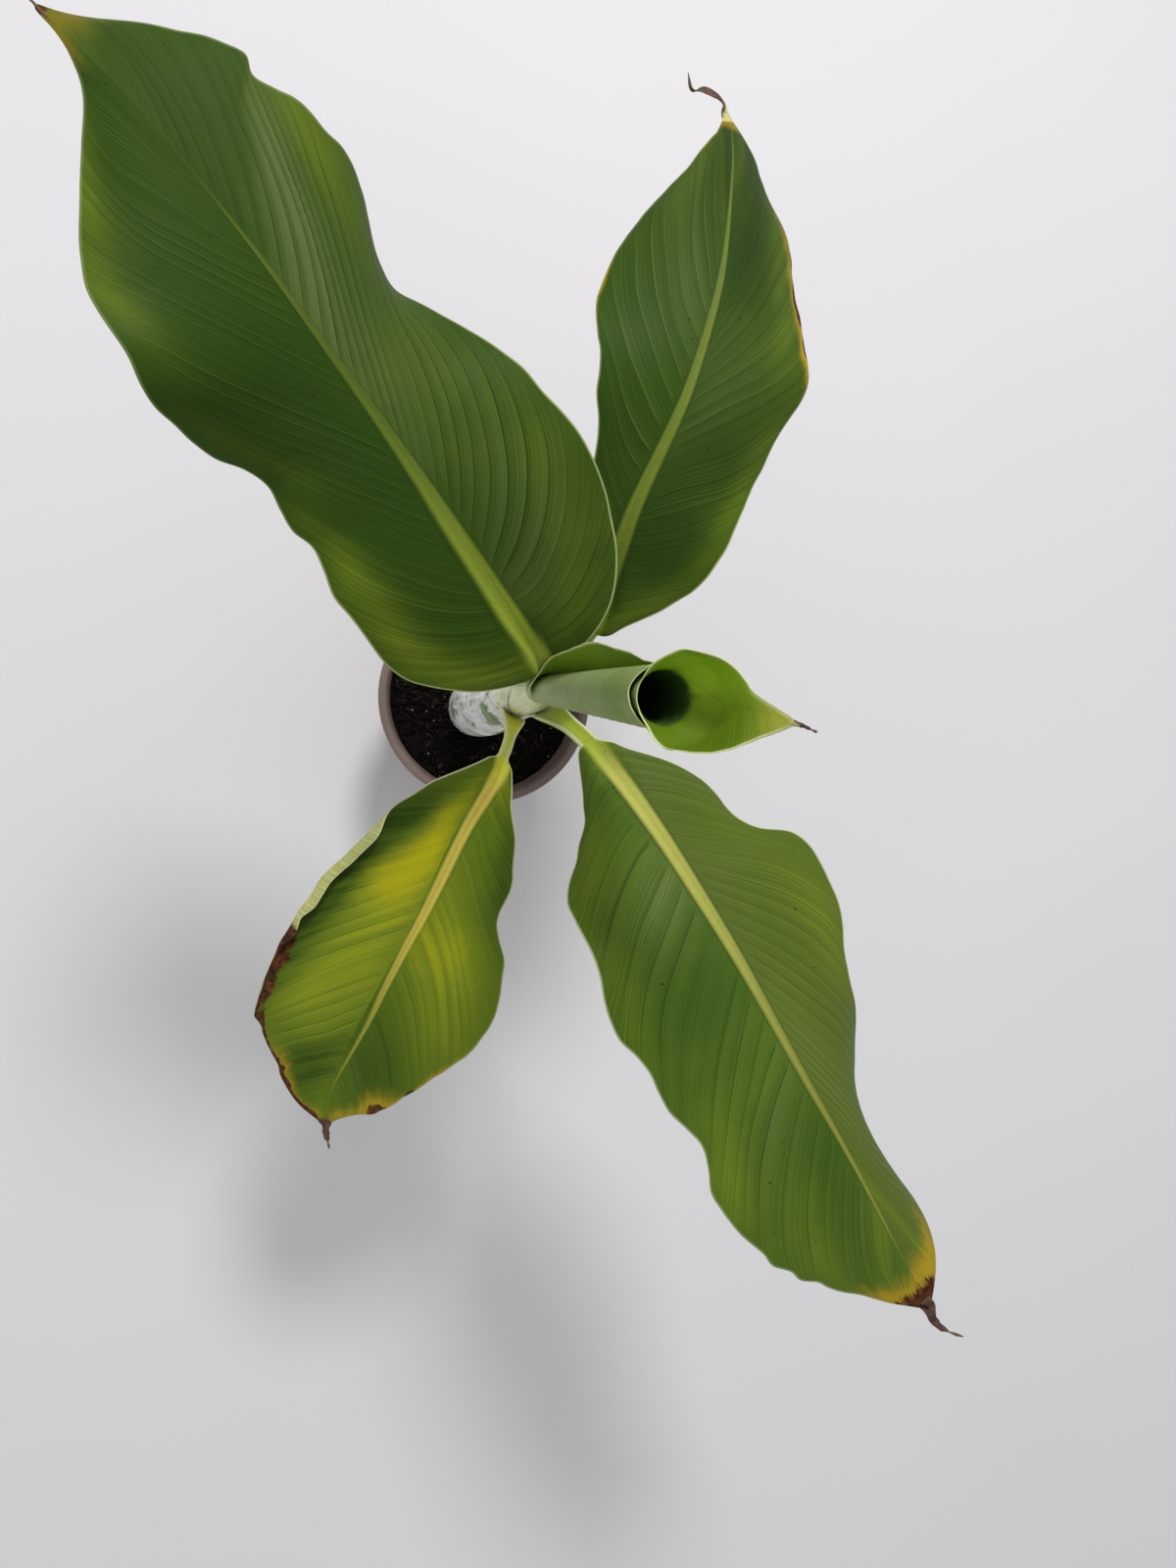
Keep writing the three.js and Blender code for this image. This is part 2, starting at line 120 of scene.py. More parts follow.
# %% Meshes from rings of points
def mesh_of(name, points, quads):
    """Makes a mesh object from an (n, 3) array of millimetres and an (m, 4) array of corners."""
    mesh = bpy.data.meshes.new(name)
    mesh.vertices.add(len(points))
    mesh.vertices.foreach_set("co", (points * MM).astype(np.float32).ravel())
    mesh.loops.add(quads.size)
    mesh.loops.foreach_set("vertex_index", quads.astype(np.int32).ravel())
    mesh.polygons.add(len(quads))
    mesh.polygons.foreach_set("loop_start", np.arange(0, quads.size, 4, dtype=np.int32))
    mesh.polygons.foreach_set("use_smooth", np.ones(len(quads), bool))
    mesh.update(calc_edges=True)
    piece = bpy.data.objects.new(name, mesh)
    bpy.context.scene.collection.objects.link(piece)
    return piece


def all_round(rows, columns):
    """The quads of a grid whose rows and columns both run round and meet themselves."""
    at = np.arange(rows * columns).reshape(rows, columns)
    side = np.roll(at, -1, axis=1)
    return np.stack([at, side, np.roll(side, -1, axis=0), np.roll(at, -1, axis=0)], -1)


def ring_piece(name, rings, marks, closed_ends=True):
    """Joins equal rings, an (r, k, 3) array whose second half runs back under the first, into
    one closed body. Without closed ends the last ring joins the first. marks holds an (r, k)
    array of values for each attribute's name."""
    r, k = rings.shape[:2]
    quads = all_round(r, k).reshape(-1, 4)
    if closed_ends:
        first = np.arange(k)
        caps = []
        for row, order in ((first, 1), (first + (r - 1) * k, -1)):
            top, low = row[: k // 2], row[::-1][: k // 2]
            caps.append(np.stack([top[:-1], low[:-1], low[1:], top[1:]], -1)[:, ::order])
        quads = np.concatenate([quads[:-k], *caps])
    points = rings.reshape(-1, 3)
    a, b, c, d = (points[corner] - points.mean(0) for corner in quads.T)
    volume = (a * np.cross(b, c)).sum() + (a * np.cross(c, d)).sum()
    if volume < 0:
        quads = quads[:, ::-1]
    piece = mesh_of(name, points, quads)
    for key, values in marks.items():
        layer = piece.data.attributes.new(key, "FLOAT", "POINT")
        layer.data.foreach_set("value", values.astype(np.float32).ravel())
    unroll(piece, r, k)
    return piece


def unroll(piece, rows, columns):
    """Lays the rings out flat on a map of their own, so that a bake keeps the fine pattern."""
    mesh = piece.data
    corner = np.empty(len(mesh.loops), np.int32)
    mesh.loops.foreach_get("vertex_index", corner)
    corner = corner.reshape(-1, 4)
    across = (corner % columns).astype(float)
    wraps = (across.max(1) - across.min(1)) > columns / 2
    across[wraps[:, None] & (across < columns / 2)] += columns
    down = (corner // columns).astype(float)
    turns_over = (down.max(1) - down.min(1)) > 1
    down[turns_over[:, None] & (down < 1)] += rows
    flat = np.stack([across / columns, down / (rows - 1)], -1) * 0.98 + 0.01
    layer = mesh.uv_layers.new(name="OFBake")
    layer.data.foreach_set("uv", flat.astype(np.float32).ravel())


def settle(piece, slot, material, *nodes):
    """Gives a piece its material, names the solids that it stands for and seats it. The slot is not
    used.
    """
    piece.data.materials.append(material)
    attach(piece, "root")
    if nodes:
        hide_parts(*nodes)
    print(piece.name, len(piece.data.polygons), "faces stand for", nodes or "an added detail")


# %% [markdown]
# A finish is a small network of nodes. A short builder class keeps those networks readable:
# each call adds one node, wires what it is given and hands back its result.


# %% A builder for node materials
class Value:
    """One output of a node. A sum, a product or abs of it adds the node that works it out."""

    def __init__(self, finish, socket):
        self.finish = finish
        self.socket = socket

    def __add__(self, other):
        return self.finish.math("ADD", self, other)

    def __sub__(self, other):
        return self.finish.math("SUBTRACT", self, other)

    def __mul__(self, other):
        return self.finish.math("MULTIPLY", self, other)

    def __abs__(self):
        return self.finish.math("ABSOLUTE", self)


class Finish:
    """A material under construction, its shader and the place in the piece that it starts from."""

    def __init__(self, name):
        self.material = bpy.data.materials.new(name)
        self.material.use_nodes = True
        self.tree = self.material.node_tree
        self.shader = self.tree.nodes["Principled BSDF"]
        self.space = self.step("TexCoord", "Object", {})

    def plug(self, socket, value):
        """Wires a value to a socket or sets it. A tuple is a colour in thousandths of full light."""
        if isinstance(value, Value):
            self.tree.links.new(value.socket, socket)
        elif isinstance(value, tuple):
            colour = [part / 1000 for part in value]
            socket.default_value = [*colour, 1] if socket.type == "RGBA" else colour
        else:
            socket.default_value = value

    def step(self, kind, output, inputs, **settings):
        """Adds a node, fills its inputs and gives back one of its outputs."""
        made = self.tree.nodes.new("ShaderNode" + kind)
        for key, value in settings.items():
            setattr(made, key, value)
        for key, value in inputs.items():
            self.plug(made.inputs[key], value)
        return Value(self, made.outputs[output])

    def mark(self, name):
        """Reads an attribute that the mesh carries."""
        return self.step("Attribute", "Fac", {}, attribute_name=name)

    def up(self):
        """The height over the floor, in metres."""
        return self.step("SeparateXYZ", "Z", {0: self.space})

    def math(self, operation, a, b=0.0):
        return self.step("Math", 0, {0: a, 1: b}, operation=operation)

    def ramp(self, value, low, high, start=0.0, end=1.0):
        """Eases a value from start to end as it goes from low to high."""
        inputs = dict(enumerate((value, low, high, start, end)))
        return self.step("MapRange", 0, inputs, interpolation_type="SMOOTHSTEP")

    def blend(self, share, a, b):
        """Mixes two colours."""
        return self.step("Mix", 2, {0: share, 6: a, 7: b}, data_type="RGBA")

    def layers(self, colour, *more):
        """Lays one colour after another over the first, each by its share."""
        for share, added in more:
            colour = self.blend(share, colour, added)
        return colour

    def scale(self, colour, share):
        """Makes a colour lighter or darker by a number."""
        return self.step("VectorMath", 0, {0: colour, 3: share}, operation="SCALE")

    def noise(self, scale, detail, roughness=0.5, tall=1.0):
        """Cloudy noise, with scale in cells to the metre. A tall below 1 draws it out upwards."""
        place = self.space
        if tall != 1:
            place = self.step("Mapping", 0, {"Vector": place, "Scale": [1, 1, tall]})
        inputs = {"Vector": place, "Scale": scale, "Detail": detail, "Roughness": roughness}
        return self.step("TexNoise", "Fac", inputs)

    def line_noise(self, value, scale, detail):
        """Noise along one number, which makes streaks where that number is a vein's place."""
        inputs = {"W": value, "Scale": scale, "Detail": detail}
        return self.step("TexNoise", "Fac", inputs, noise_dimensions="1D")

    def bump(self, height, distance, strength):
        inputs = {"Height": height, "Distance": distance, "Strength": strength}
        self.plug(self.shader.inputs["Normal"], self.step("Bump", 0, inputs))

    def done(self, colour, roughness, **more):
        """Gives the colour and the roughness to the shader and gives back the material."""
        inputs = {"Base_Color": colour, "Roughness": roughness, **more}
        for key, value in inputs.items():
            self.plug(self.shader.inputs[key.replace("_", " ")], value)
        return self.material


print("finishes are built from", len([m for m in dir(Finish) if m[0] != "_"]), "kinds of step")

# %% [markdown]
# The pot is thin moulded plastic: a tapering wall, a flat floor with drain holes and a rim
# that turns over into a skirt. Such a shape is one profile spun round an axis. A modifier
# could spin it, but a loop over angles leaves the edges' rounding in the maker's hands. The
# holes are cut with one Boolean.

# %% Pot profile
POT = {
    "height": 140, "rim_radius": 85, "rim_width": 7, "rim_skirt": 18, "foot_radius": 60,
    "wall": 1.8, "floor": 2.5, "lip": 2, "chamfer": 2, "draft": 0.5,
    "drain_holes": 8, "drain_radius": 4, "drain_circle": 44,
}
FILLET_STEPS = 4


def pot_inner(height):
    """The inside radius of the pot's wall."""
    top = POT["rim_radius"] - POT["rim_width"]
    bottom = POT["foot_radius"] - POT["wall"]
    return bottom + (top - bottom) * (height - POT["floor"]) / (POT["height"] - POT["floor"])


def fillet(a, corner, b, radius):
    """Rounds a corner between two neighbours of a profile."""
    a, corner, b = (np.array(p, float) for p in (a, corner, b))
    start = corner + (a - corner) / np.linalg.norm(a - corner) * radius
    end = corner + (b - corner) / np.linalg.norm(b - corner) * radius
    t = np.linspace(0, 1, FILLET_STEPS + 1)[:, None]
    return (1 - t) ** 2 * start + 2 * t * (1 - t) * corner + t**2 * end


def spin(name, profile, segments):
    """Spins a closed profile of (radius, height) points into a ring-shaped body."""
    angle = np.linspace(0, 2 * math.pi, segments, endpoint=False)
    r, z = np.array(profile).T
    rings = [np.outer(np.cos(angle), r), np.outer(np.sin(angle), r), np.tile(z, (segments, 1))]
    quads = np.roll(all_round(segments, len(profile)), -1, axis=-1)
    return mesh_of(name, np.stack(rings, -1).reshape(-1, 3), quads.reshape(-1, 4))


print("pot walls", POT["wall"], "mm thick, floor", POT["floor"], "mm")

# %% Pot mesh
top, rim, wall, base, draft = (POT[k] for k in ("height", "rim_radius", "wall", "floor", "draft"))
lip = top - POT["lip"]
hem = top - POT["rim_skirt"]
CENTRE_HOLE = 0.4
POT_SEGMENTS = 168
DRILL_SIDES = 24
corners = [
    (CENTRE_HOLE, 0, 0.1),
    (POT["foot_radius"], 0, POT["chamfer"]),
    (pot_inner(lip) + wall, lip, 1.2),
    (rim - wall, lip, 0.8),
    (rim - wall - draft, hem, 0.4),
    (rim - draft, hem, 0.7),
    (rim, top, 1.4),
    (pot_inner(top) + wall, top, 0.7),
    (pot_inner(top - 3.5) + wall * 0.55, top - 2.2, 0.8),
    (pot_inner(top - 4), top - 3.2, 0.8),
    (pot_inner(base), base, 1.6),
    (CENTRE_HOLE, base, 0.1),
]
profile = []
for before, here, after in zip(corners[-1:] + corners, corners, corners[1:] + corners[:1]):
    profile.extend(fillet(before[:2], here[:2], after[:2], here[2]))
pot = spin("pot_shell", profile, POT_SEGMENTS)
drills = []
for i in range(POT["drain_holes"]):
    a = 2 * math.pi * (i + 0.5) / POT["drain_holes"]
    place = Vector((math.cos(a), math.sin(a), 0)) * POT["drain_circle"] * MM
    bpy.ops.mesh.primitive_cylinder_add(
        vertices=DRILL_SIDES, radius=POT["drain_radius"] * MM, depth=4 * base * MM, location=place,
    )
    drills.append(bpy.context.object)
with bpy.context.temp_override(active_object=drills[0], selected_editable_objects=drills):
    bpy.ops.object.join()
cut = pot.modifiers.new("drain_holes", "BOOLEAN")
cut.operation = "DIFFERENCE"
cut.object = drills[0]
cut.solver = "EXACT"
with bpy.context.temp_override(object=pot, active_object=pot):
    bpy.ops.object.modifier_apply(modifier=cut.name)
bpy.data.objects.remove(drills[0])
print("pot rim", 2 * rim, "mm across,", len(pot.data.polygons), "faces")

# %% [markdown]
# The plastic is a matt taupe. Moulded polypropylene has a faint orange-peel texture, a
# slightly glossier rim where hands have rubbed it, and fine scuffs and dust low down. Noise
# at three sizes does this without any picture.

# %% Pot finish
plastic = Finish("taupe_plastic")
cloud = plastic.noise(14, 4, 0.6)
scuff = plastic.noise(60, 5, 0.7, tall=0.15)
shell = plastic.layers(
    plastic.blend(plastic.ramp(cloud, 0.35, 0.7), (150, 103, 90), (190, 134, 118)),
    (plastic.ramp(scuff, 0.62, 0.75, 0, 0.4), (260, 215, 195)),
    (plastic.ramp(plastic.up(), 0.0, 0.09, 0.35, 0.0), (290, 250, 210)),
)
plastic.bump(plastic.noise(1400, 2), 0.00012, 0.5)
pot_finish = plastic.done(shell, plastic.ramp(scuff, 0.3, 0.75, 0.42, 0.6))
settle(pot, "pot", pot_finish, "pot")

# %% [markdown]
# Potting mix is peat with bark and fibres in it. From above it reads as near-black crumbs
# with a few pale bits. The bulk is one uneven disc that fills the pot, and crumbs, bark, grit
# and fibres are scattered over it by a seeded generator. Each kind is one joined mesh, because
# a thousand separate objects would be slow and the crumbs never move.

# %% Potting mix surface
MIX = {
    "edge": 121.5, "top": 124.0, "flat": 30.0, "clearance": 0.4, "base": 2.8, "core": 0.3,
    "settled": 0.9, "rough": 0.16,
}
edge_radius = pot_inner(MIX["edge"]) - MIX["clearance"]
foot_radius = pot_inner(MIX["base"]) - MIX["clearance"]
mix_draw = np.random.default_rng(11)
WAVES = 70
LONGEST_WAVE = 26
wave_way = mix_draw.uniform(0, 2 * math.pi, WAVES)
wave_length = mix_draw.uniform(4, LONGEST_WAVE, WAVES)
wave_phase = mix_draw.uniform(0, 2 * math.pi, WAVES)


def mix_height(x, y):
    """The crumbly surface's height at a place, in millimetres."""
    outward = (np.hypot(x, y) - MIX["flat"]) / (edge_radius - MIX["flat"])
    bulk = mix(MIX["top"], MIX["edge"], np.clip(outward, 0, 1))
    rough = 0.0
    for way, length, phase in zip(wave_way, wave_length, wave_phase):
        run = (x * math.cos(way) + y * math.sin(way)) * 2 * math.pi / length
        rough = rough + np.cos(run + phase) * length / LONGEST_WAVE
    return bulk - MIX["settled"] + rough * MIX["rough"]


RINGS, SPOKES = 84, 200
radius = np.r_[np.linspace(MIX["core"], edge_radius, RINGS), foot_radius, MIX["core"]]
angle = np.linspace(0, 2 * math.pi, SPOKES, endpoint=False)
x, y = np.outer(np.cos(angle), radius), np.outer(np.sin(angle), radius)
height = mix_height(x, y)
height[:, RINGS:] = MIX["base"]
quads = np.roll(all_round(SPOKES, RINGS + 2), -1, axis=-1)
mix_bulk = mesh_of("mix_bulk", np.stack([x, y, height], -1).reshape(-1, 3), quads.reshape(-1, 4))
print("mix surface up to", height.max().round(1), "mm high")


# %% Crumbs, bark, grit and fibres
STEM_CLEAR = {"x": -5, "y": -8, "radius": 22}
LUMP_REACH = edge_radius - 2
FIBRE_REACH = edge_radius - 9
FIBRE_LIFT = 0.9
FIBRE_LOW = [0, -0.25, 7, 0.18]
FIBRE_HIGH = [2 * math.pi, 0.25, 16, 0.42]


def scatter(count, reach):
    """Random places on the mix, clear of the stem and the pot's wall."""
    places = []
    while len(places) < count:
        x, y = mix_draw.uniform(-reach, reach, 2)
        from_stem = math.hypot(x - STEM_CLEAR["x"], y - STEM_CLEAR["y"])
        if math.hypot(x, y) < reach and from_stem > STEM_CLEAR["radius"]:
            places.append((x, y))
    return np.array(places)


def turns(count):
    """Random rotation matrices."""
    q = mix_draw.normal(size=(count, 4))
    q /= np.linalg.norm(q, axis=1, keepdims=True)
    w, x, y, z = q.T
    rows = [
        [1 - 2 * (y * y + z * z), 2 * (x * y - z * w), 2 * (x * z + y * w)],
        [2 * (x * y + z * w), 1 - 2 * (x * x + z * z), 2 * (y * z - x * w)],
        [2 * (x * z - y * w), 2 * (y * z + x * w), 1 - 2 * (x * x + y * y)],
    ]
    return np.array(rows).transpose(2, 0, 1)


def lumps(name, count, size, shape, sunk):
    """Scatters small six-sided lumps with uneven corners and joins them. A size is a range."""
    box = np.array([[i, j, k] for i in (-1, 1) for j in (-1, 1) for k in (-1, 1)], float)
    box_faces = np.array([
        [0, 1, 3, 2], [4, 6, 7, 5], [0, 4, 5, 1], [2, 3, 7, 6], [0, 2, 6, 4], [1, 5, 7, 3],
    ])
    places = scatter(count, LUMP_REACH)
    scale = mix_draw.uniform(*size, (count, 1, 1)) * np.array(shape)
    uneven = box + mix_draw.uniform(-0.45, 0.45, (count, 8, 3))
    corners = np.einsum("nij,nkj->nki", turns(count), uneven * scale)
    lift = mix_height(places[:, 0], places[:, 1]) + scale[:, 0, 2] * (1 - sunk)
    corners += np.concatenate([places, lift[:, None]], 1)[:, None, :]
    faces = box_faces[None] + 8 * np.arange(count)[:, None, None]
    return mesh_of(name, corners.reshape(-1, 3), faces.reshape(-1, 4))


def fibres(name, count):
    """Short bent roots of coir that lie on the mix. A fibre has a way, a bend, a length and a
    thickness, each drawn between its low and its high value."""
    steps, sides = 9, 6
    x, y = scatter(count, FIBRE_REACH).T[..., None]
    draws = mix_draw.uniform(FIBRE_LOW, FIBRE_HIGH, (count, len(FIBRE_LOW)))
    way, bend, length, thick = draws.T[..., None]
    way = way + bend * np.arange(steps)
    ahead = np.stack([np.cos(way), np.sin(way)], -1)
    run = (np.cumsum(ahead, 1) - ahead) * length[..., None] / steps
    x, y = x + run[..., 0], y + run[..., 1]
    centre = np.stack([x, y, mix_height(x, y) + FIBRE_LIFT], -1)[:, :, None]
    a = 2 * math.pi * np.arange(sides) / sides
    thin = thick * (1 - 0.6 * np.abs(np.linspace(-1, 1, steps)))
    flat = np.cos(a) * thin[..., None]
    lift = np.sin(a) * thin[..., None]
    points = centre + np.stack([-ahead[..., 1:] * flat, ahead[..., :1] * flat, lift], -1)
    caps = np.array([(3, 2, 1, 0), (0, 1, 2, 3), (5, 4, 3, 0), (0, 3, 4, 5)])
    caps[1::2] += (steps - 1) * sides
    one = np.concatenate([all_round(steps, sides)[:-1].reshape(-1, 4), caps])
    faces = one[None] + steps * sides * np.arange(count)[:, None, None]
    return mesh_of(name, points.reshape(-1, 3), faces.reshape(-1, 4))


crumbs = lumps("mix_crumbs", 1500, (0.5, 1.7), (1, 0.8, 0.6), 0.3)
bark = lumps("mix_bark", 170, (1.0, 2.8), (1.3, 0.6, 0.35), 0.2)
grit = lumps("mix_grit", 70, (0.3, 0.65), (1, 1, 0.8), 0.0)
roots = fibres("mix_fibres", 60)


# %% Potting mix finishes
def soil_finish(name, dark, light, roughness):
    soil = Finish(name)
    tone = soil.ramp(soil.noise(420, 4, 0.7), 0.35, 0.68)
    soil.bump(soil.noise(900, 5, 0.75), 0.0006, 0.9)
    return soil.done(soil.blend(tone, dark, light), roughness, Specular_IOR_Level=0.08)


SOILS = [
    (mix_bulk, "moist_peat", (2, 1.8, 2), (9, 6.5, 5), 0.9, "potting_mix"),
    (crumbs, "peat_crumbs", (2, 1.8, 2), (11, 7.5, 6), 0.92),
    (bark, "bark_chips", (9, 6, 4), (35, 22, 13), 0.85),
    (grit, "pale_grit", (220, 200, 170), (420, 400, 360), 0.7),
    (roots, "coir_fibre", (30, 18, 9), (100, 62, 32), 0.8),
]
for piece, name, dark, light, roughness, *solid in SOILS:
    settle(piece, "potting_mix", soil_finish(name, dark, light, roughness), *solid)

# %% [markdown]
# A banana's pseudostem isn't wood. It is the rolled bases of the leaves, one round the other,
# and each base ends in a slanting edge. Its skin is covered with a white wax that rubs off to
# green. The solid's rule is used again on a much finer ring, so that the edges can be crisp
# and slightly lifted, with a thin dried line along each.

# %% Pseudostem shape
STEM_FOOT = np.array([-5, -8, 124.3])
STEM_TOP = np.array([-4, -6, 350])
STEM_RADII = [20.4, 21, 20.2, 18.8, 17.4, 15.9, 14.2, 12.4]
SHEATHS = [(20, 165, 215, 0.9), (215, 205, 262, 0.9), (75, 250, 318, 0.8)]
UPPER_EDGES = [(302, 262, 331, 0.1), (137, 296, 344, 0.1)]
SUNK = 4.0
COLLAR = 6.0
STEP_SOFT = 7.0
FAR_BELOW = 99
STEM_ROWS = 256
ALL_ROUND = np.arange(0, 360, 2.5)


def stem_share(height):
    return (np.asarray(height, float) - STEM_FOOT[2]) / (STEM_TOP[2] - STEM_FOOT[2])


def stem_axis(height):
    return STEM_FOOT + (STEM_TOP - STEM_FOOT) * np.asarray(stem_share(height))[..., None]


def sheath_edge(azimuth, sheath):
    """The height of a sheath's slanting edge at an azimuth."""
    facing = (1 + np.cos(np.radians(azimuth - sheath[0]))) / 2
    return mix(sheath[1], sheath[2], facing**1.3)


def stem_radius(height, azimuth):
    """The solid's radius, with its sheaths as soft steps."""
    radius = along(STEM_RADII, stem_share(height))
    for azimuth_high, low, high, step in SHEATHS:
        facing = (1 + np.cos(np.radians(azimuth - azimuth_high))) / 2
        radius = radius + step * ease(mix(low, high, facing) - height, 0, STEP_SOFT)
    return radius


stem_heights = np.linspace(STEM_FOOT[2] - SUNK, STEM_TOP[2] + COLLAR, STEM_ROWS)
height, azimuth = np.meshgrid(stem_heights, ALL_ROUND, indexing="ij")
radius = along(STEM_RADII, stem_share(height))
dry_edge = np.zeros_like(height)
below_edge = np.full_like(height, FAR_BELOW)
covered = np.zeros_like(height)
for sheath in SHEATHS + UPPER_EDGES:
    under = sheath_edge(azimuth, sheath) + 1.2 * np.sin(np.radians(azimuth * 3)) - height
    lifted = (1 - covered) * window(under, 0.2, 2.2, 2.5)
    radius += sheath[3] * ease(under, -0.2, 1.4) + 0.35 * lifted
    aged = (0.3 + 0.7 * ease(height, 185, 230)) * (1 - covered)
    dry_edge = np.maximum(dry_edge, aged * window(under, -0.2, 1.3, 1.2))
    below_edge = np.where((under > 0) & (covered < 0.5), np.minimum(below_edge, under), below_edge)
    covered = np.maximum(covered, ease(under, 0, 1))
rib_lines = 0.12 * np.sin(np.radians(azimuth * 21) + height / 60)
rib_lines += 0.1 * np.sin(np.radians(azimuth * 34) - height / 45)
radius += rib_lines * (1 - dry_edge)
radius -= 3.0 * ease(height, 341, 352) + 0.6 * ease(height, 352, 356)
centre = stem_axis(height)
turned = np.radians(azimuth)
skin = centre + np.stack([radius * np.cos(turned), radius * np.sin(turned), height * 0], -1)
stem = ring_piece("pseudostem_skin", skin, {
    "dry_edge": dry_edge,
    "shade_line": np.exp(-below_edge / 9),
    "pale_top_and_painted_light": ease(height, 255, 335),
})
print("pseudostem", round(2 * float(radius[0, 0])), "mm thick at its foot")

# %% [markdown]
# The wax is the stem's look: chalky white, mottled where it has been rubbed, with long faint
# lines running up. It thins out to pale yellow-green at the top, where the petioles part, and
# that pale top is made lighter still as painted light. A little sheen gives the powdery edge
# that wax has.

# %% Pseudostem finish
wax = Finish("waxy_pseudostem")
mottle = wax.noise(75, 5, 0.6, tall=0.4)
rubbed = wax.ramp(wax.noise(62, 4, 0.6, tall=0.6), 0.55, 0.63)
lines = wax.noise(520, 2, 0.5, tall=0.03)
crazed = wax.ramp(abs(wax.noise(60, 5, 0.7) - 0.5), 0.004, 0.014, 0.55, 0.0)
pale_top_and_painted_light = wax.mark("pale_top_and_painted_light")
skin_colour = wax.layers(
    wax.blend(wax.ramp(mottle, 0.4, 0.66), (840, 850, 840), (580, 610, 590)),
    (rubbed, (200, 270, 160)),
    (wax.ramp(lines, 0.55, 0.72, 0, 0.35), (300, 340, 270)),
    (crazed * wax.ramp(wax.noise(40, 3, 0.5), 0.48, 0.56), (150, 190, 120)),
    (wax.ramp(wax.noise(105, 3, 0.5), 0.67, 0.71), (100, 140, 40)),
    # the top's own pale yellow-green, made lighter still as painted light
    (pale_top_and_painted_light, (740, 760, 440)),
    (pale_top_and_painted_light * wax.ramp(lines, 0.48, 0.68, 0.0, 0.6), (840, 860, 740)),
    (wax.mark("shade_line") * wax.ramp(mottle, 0.4, 0.6, 0.15, 0.6), (420, 500, 260)),
    (wax.mark("dry_edge") * wax.ramp(mottle, 0.42, 0.62, 0.25, 1.0), (170, 150, 60)),
)
wax.bump(lines + mottle * 0.5, 0.0006, 0.6)
dull = wax.ramp(rubbed, 0, 1, 0.68, 0.5)
powder = {"Sheen_Weight": 0.1, "Sheen_Roughness": 0.5, "Specular_IOR_Level": 0.2}
settle(stem, "pseudostem", wax.done(skin_colour, dull, **powder), "pseudostem")

# %% [markdown]
# Every leaf follows one rule, the same that its solid follows. A rib runs from the stem to
# the tip. The blade's two halves leave it at an angle, bend by another angle at the margin
# and have a width at eleven even stations. The petiole is the same sheet closed to a channel.
# The numbers are the solids' own, so a leaf drawn from them lies where its solid lies.

# %% Leaf sizes
LEAVES = {
    "1": {
        "facing": 137, "foot": 322, "neck": 7.5, "stalk": 78, "rib": [[-16, 5, 400], [-54, 40, 452],
        [-89, 73, 482], [-132, 112, 508], [-172, 149, 530], [-214, 188, 538], [-254, 225, 526]],
        "tip": [[-260, 231, 523], [-266, 235, 519]],
        "left": {"width": [7, 44, 66, 69, 66, 69, 69, 58, 35, 12, 2], "rise": [15, 8, 4, 6, 0],
            "edge": [-15, -20, -28, -22, -42, -42, 5, -5, -20, -20, -20]},
        "right": {"width": [7, 50, 69, 75, 73, 73, 71, 61, 48, 28, 2], "rise": [15, 10, -8, -8, 0],
            "edge": [60, 32, 15, 5, -22, -70, -45, -25, -20, -20, -40]},
    },
    "2": {
        "facing": 76, "foot": 318, "neck": 7, "stalk": 86, "rib": [[12, 25, 400], [18, 62, 433],
        [23, 102, 456], [37, 142, 470], [53, 200, 466], [66, 276, 438], [71, 320, 413]],
        "tip": [[69, 331, 408], [60, 337, 405], [51, 334, 407], [47, 341, 410]],
        "left": {"width": [7, 18, 26, 33, 49, 58, 52, 41, 27, 13, 2], "rise": [15, 8, 6, 6, 0],
            "edge": [-25, -28, -27, -28, -18, -35, -38, -42, -41, -35, -34]},
        "right": {"width": [7, 34, 52, 59, 61, 61, 54, 45, 34, 20, 2], "rise": [15, 8, 2, 2, 0],
            "edge": [-22, -17, -8, -27, -38, -22, -32, -30, -30, -30, 0]},
    },
    "3": {
        "facing": 302, "foot": 316, "neck": 7.5, "stalk": 88, "rib": [[16, -38, 400], [43, -82, 446],
        [80, -139, 474], [122, -209, 490], [164, -273, 494], [202, -330, 487]],
        "tip": [[208, -339, 483], [218, -347, 480], [230, -352, 479]],
        "left": {"width": [7, 29, 50, 65, 71, 68, 66, 57, 42, 27, 2], "rise": [15, 6, -6, -22, 0],
            "edge": [-60, -35, -48, -27, -30, -48, -78, -100, -80, -43, -5]},
        "right": {"width": [7, 28, 52, 66, 72, 68, 68, 65, 49, 28, 2], "rise": [15, 8, 4, 4, 0],
            "edge": [-27, -75, -40, 10, -18, -10, -5, -20, -20, -23, -10]},
    },
    "4": {
        "facing": 247, "foot": 286, "neck": 5.2, "stalk": 66, "rib": [[-22, -49, 343], [-45, -92, 336],
        [-71, -161, 322], [-99, -228, 305], [-113, -270, 292], [-112, -292, 284]],
        "tip": [[-110, -302, 281], [-108, -309, 279]],
        "left": {"width": [6, 20, 38, 50, 62, 72, 71, 61, 48, 30, 2], "rise": [15, 6, 2, 0, 0],
            "edge": [-24, -20, -16, -30, -30, 5, 4, -5, -8, 5, 20]},
        "right": {"width": [6, 20, 33, 43, 55, 58, 58, 54, 42, 23, 2], "rise": [15, 6, 4, 4, 0],
            "edge": [-4, -9, -12, -8, -10, -10, -5, 0, -10, -18, -22]},
    },
}
print("leaves:", ", ".join(LEAVES))


# %% The rib as a curve
CURVE_STEPS = 60
REACH = 0.8


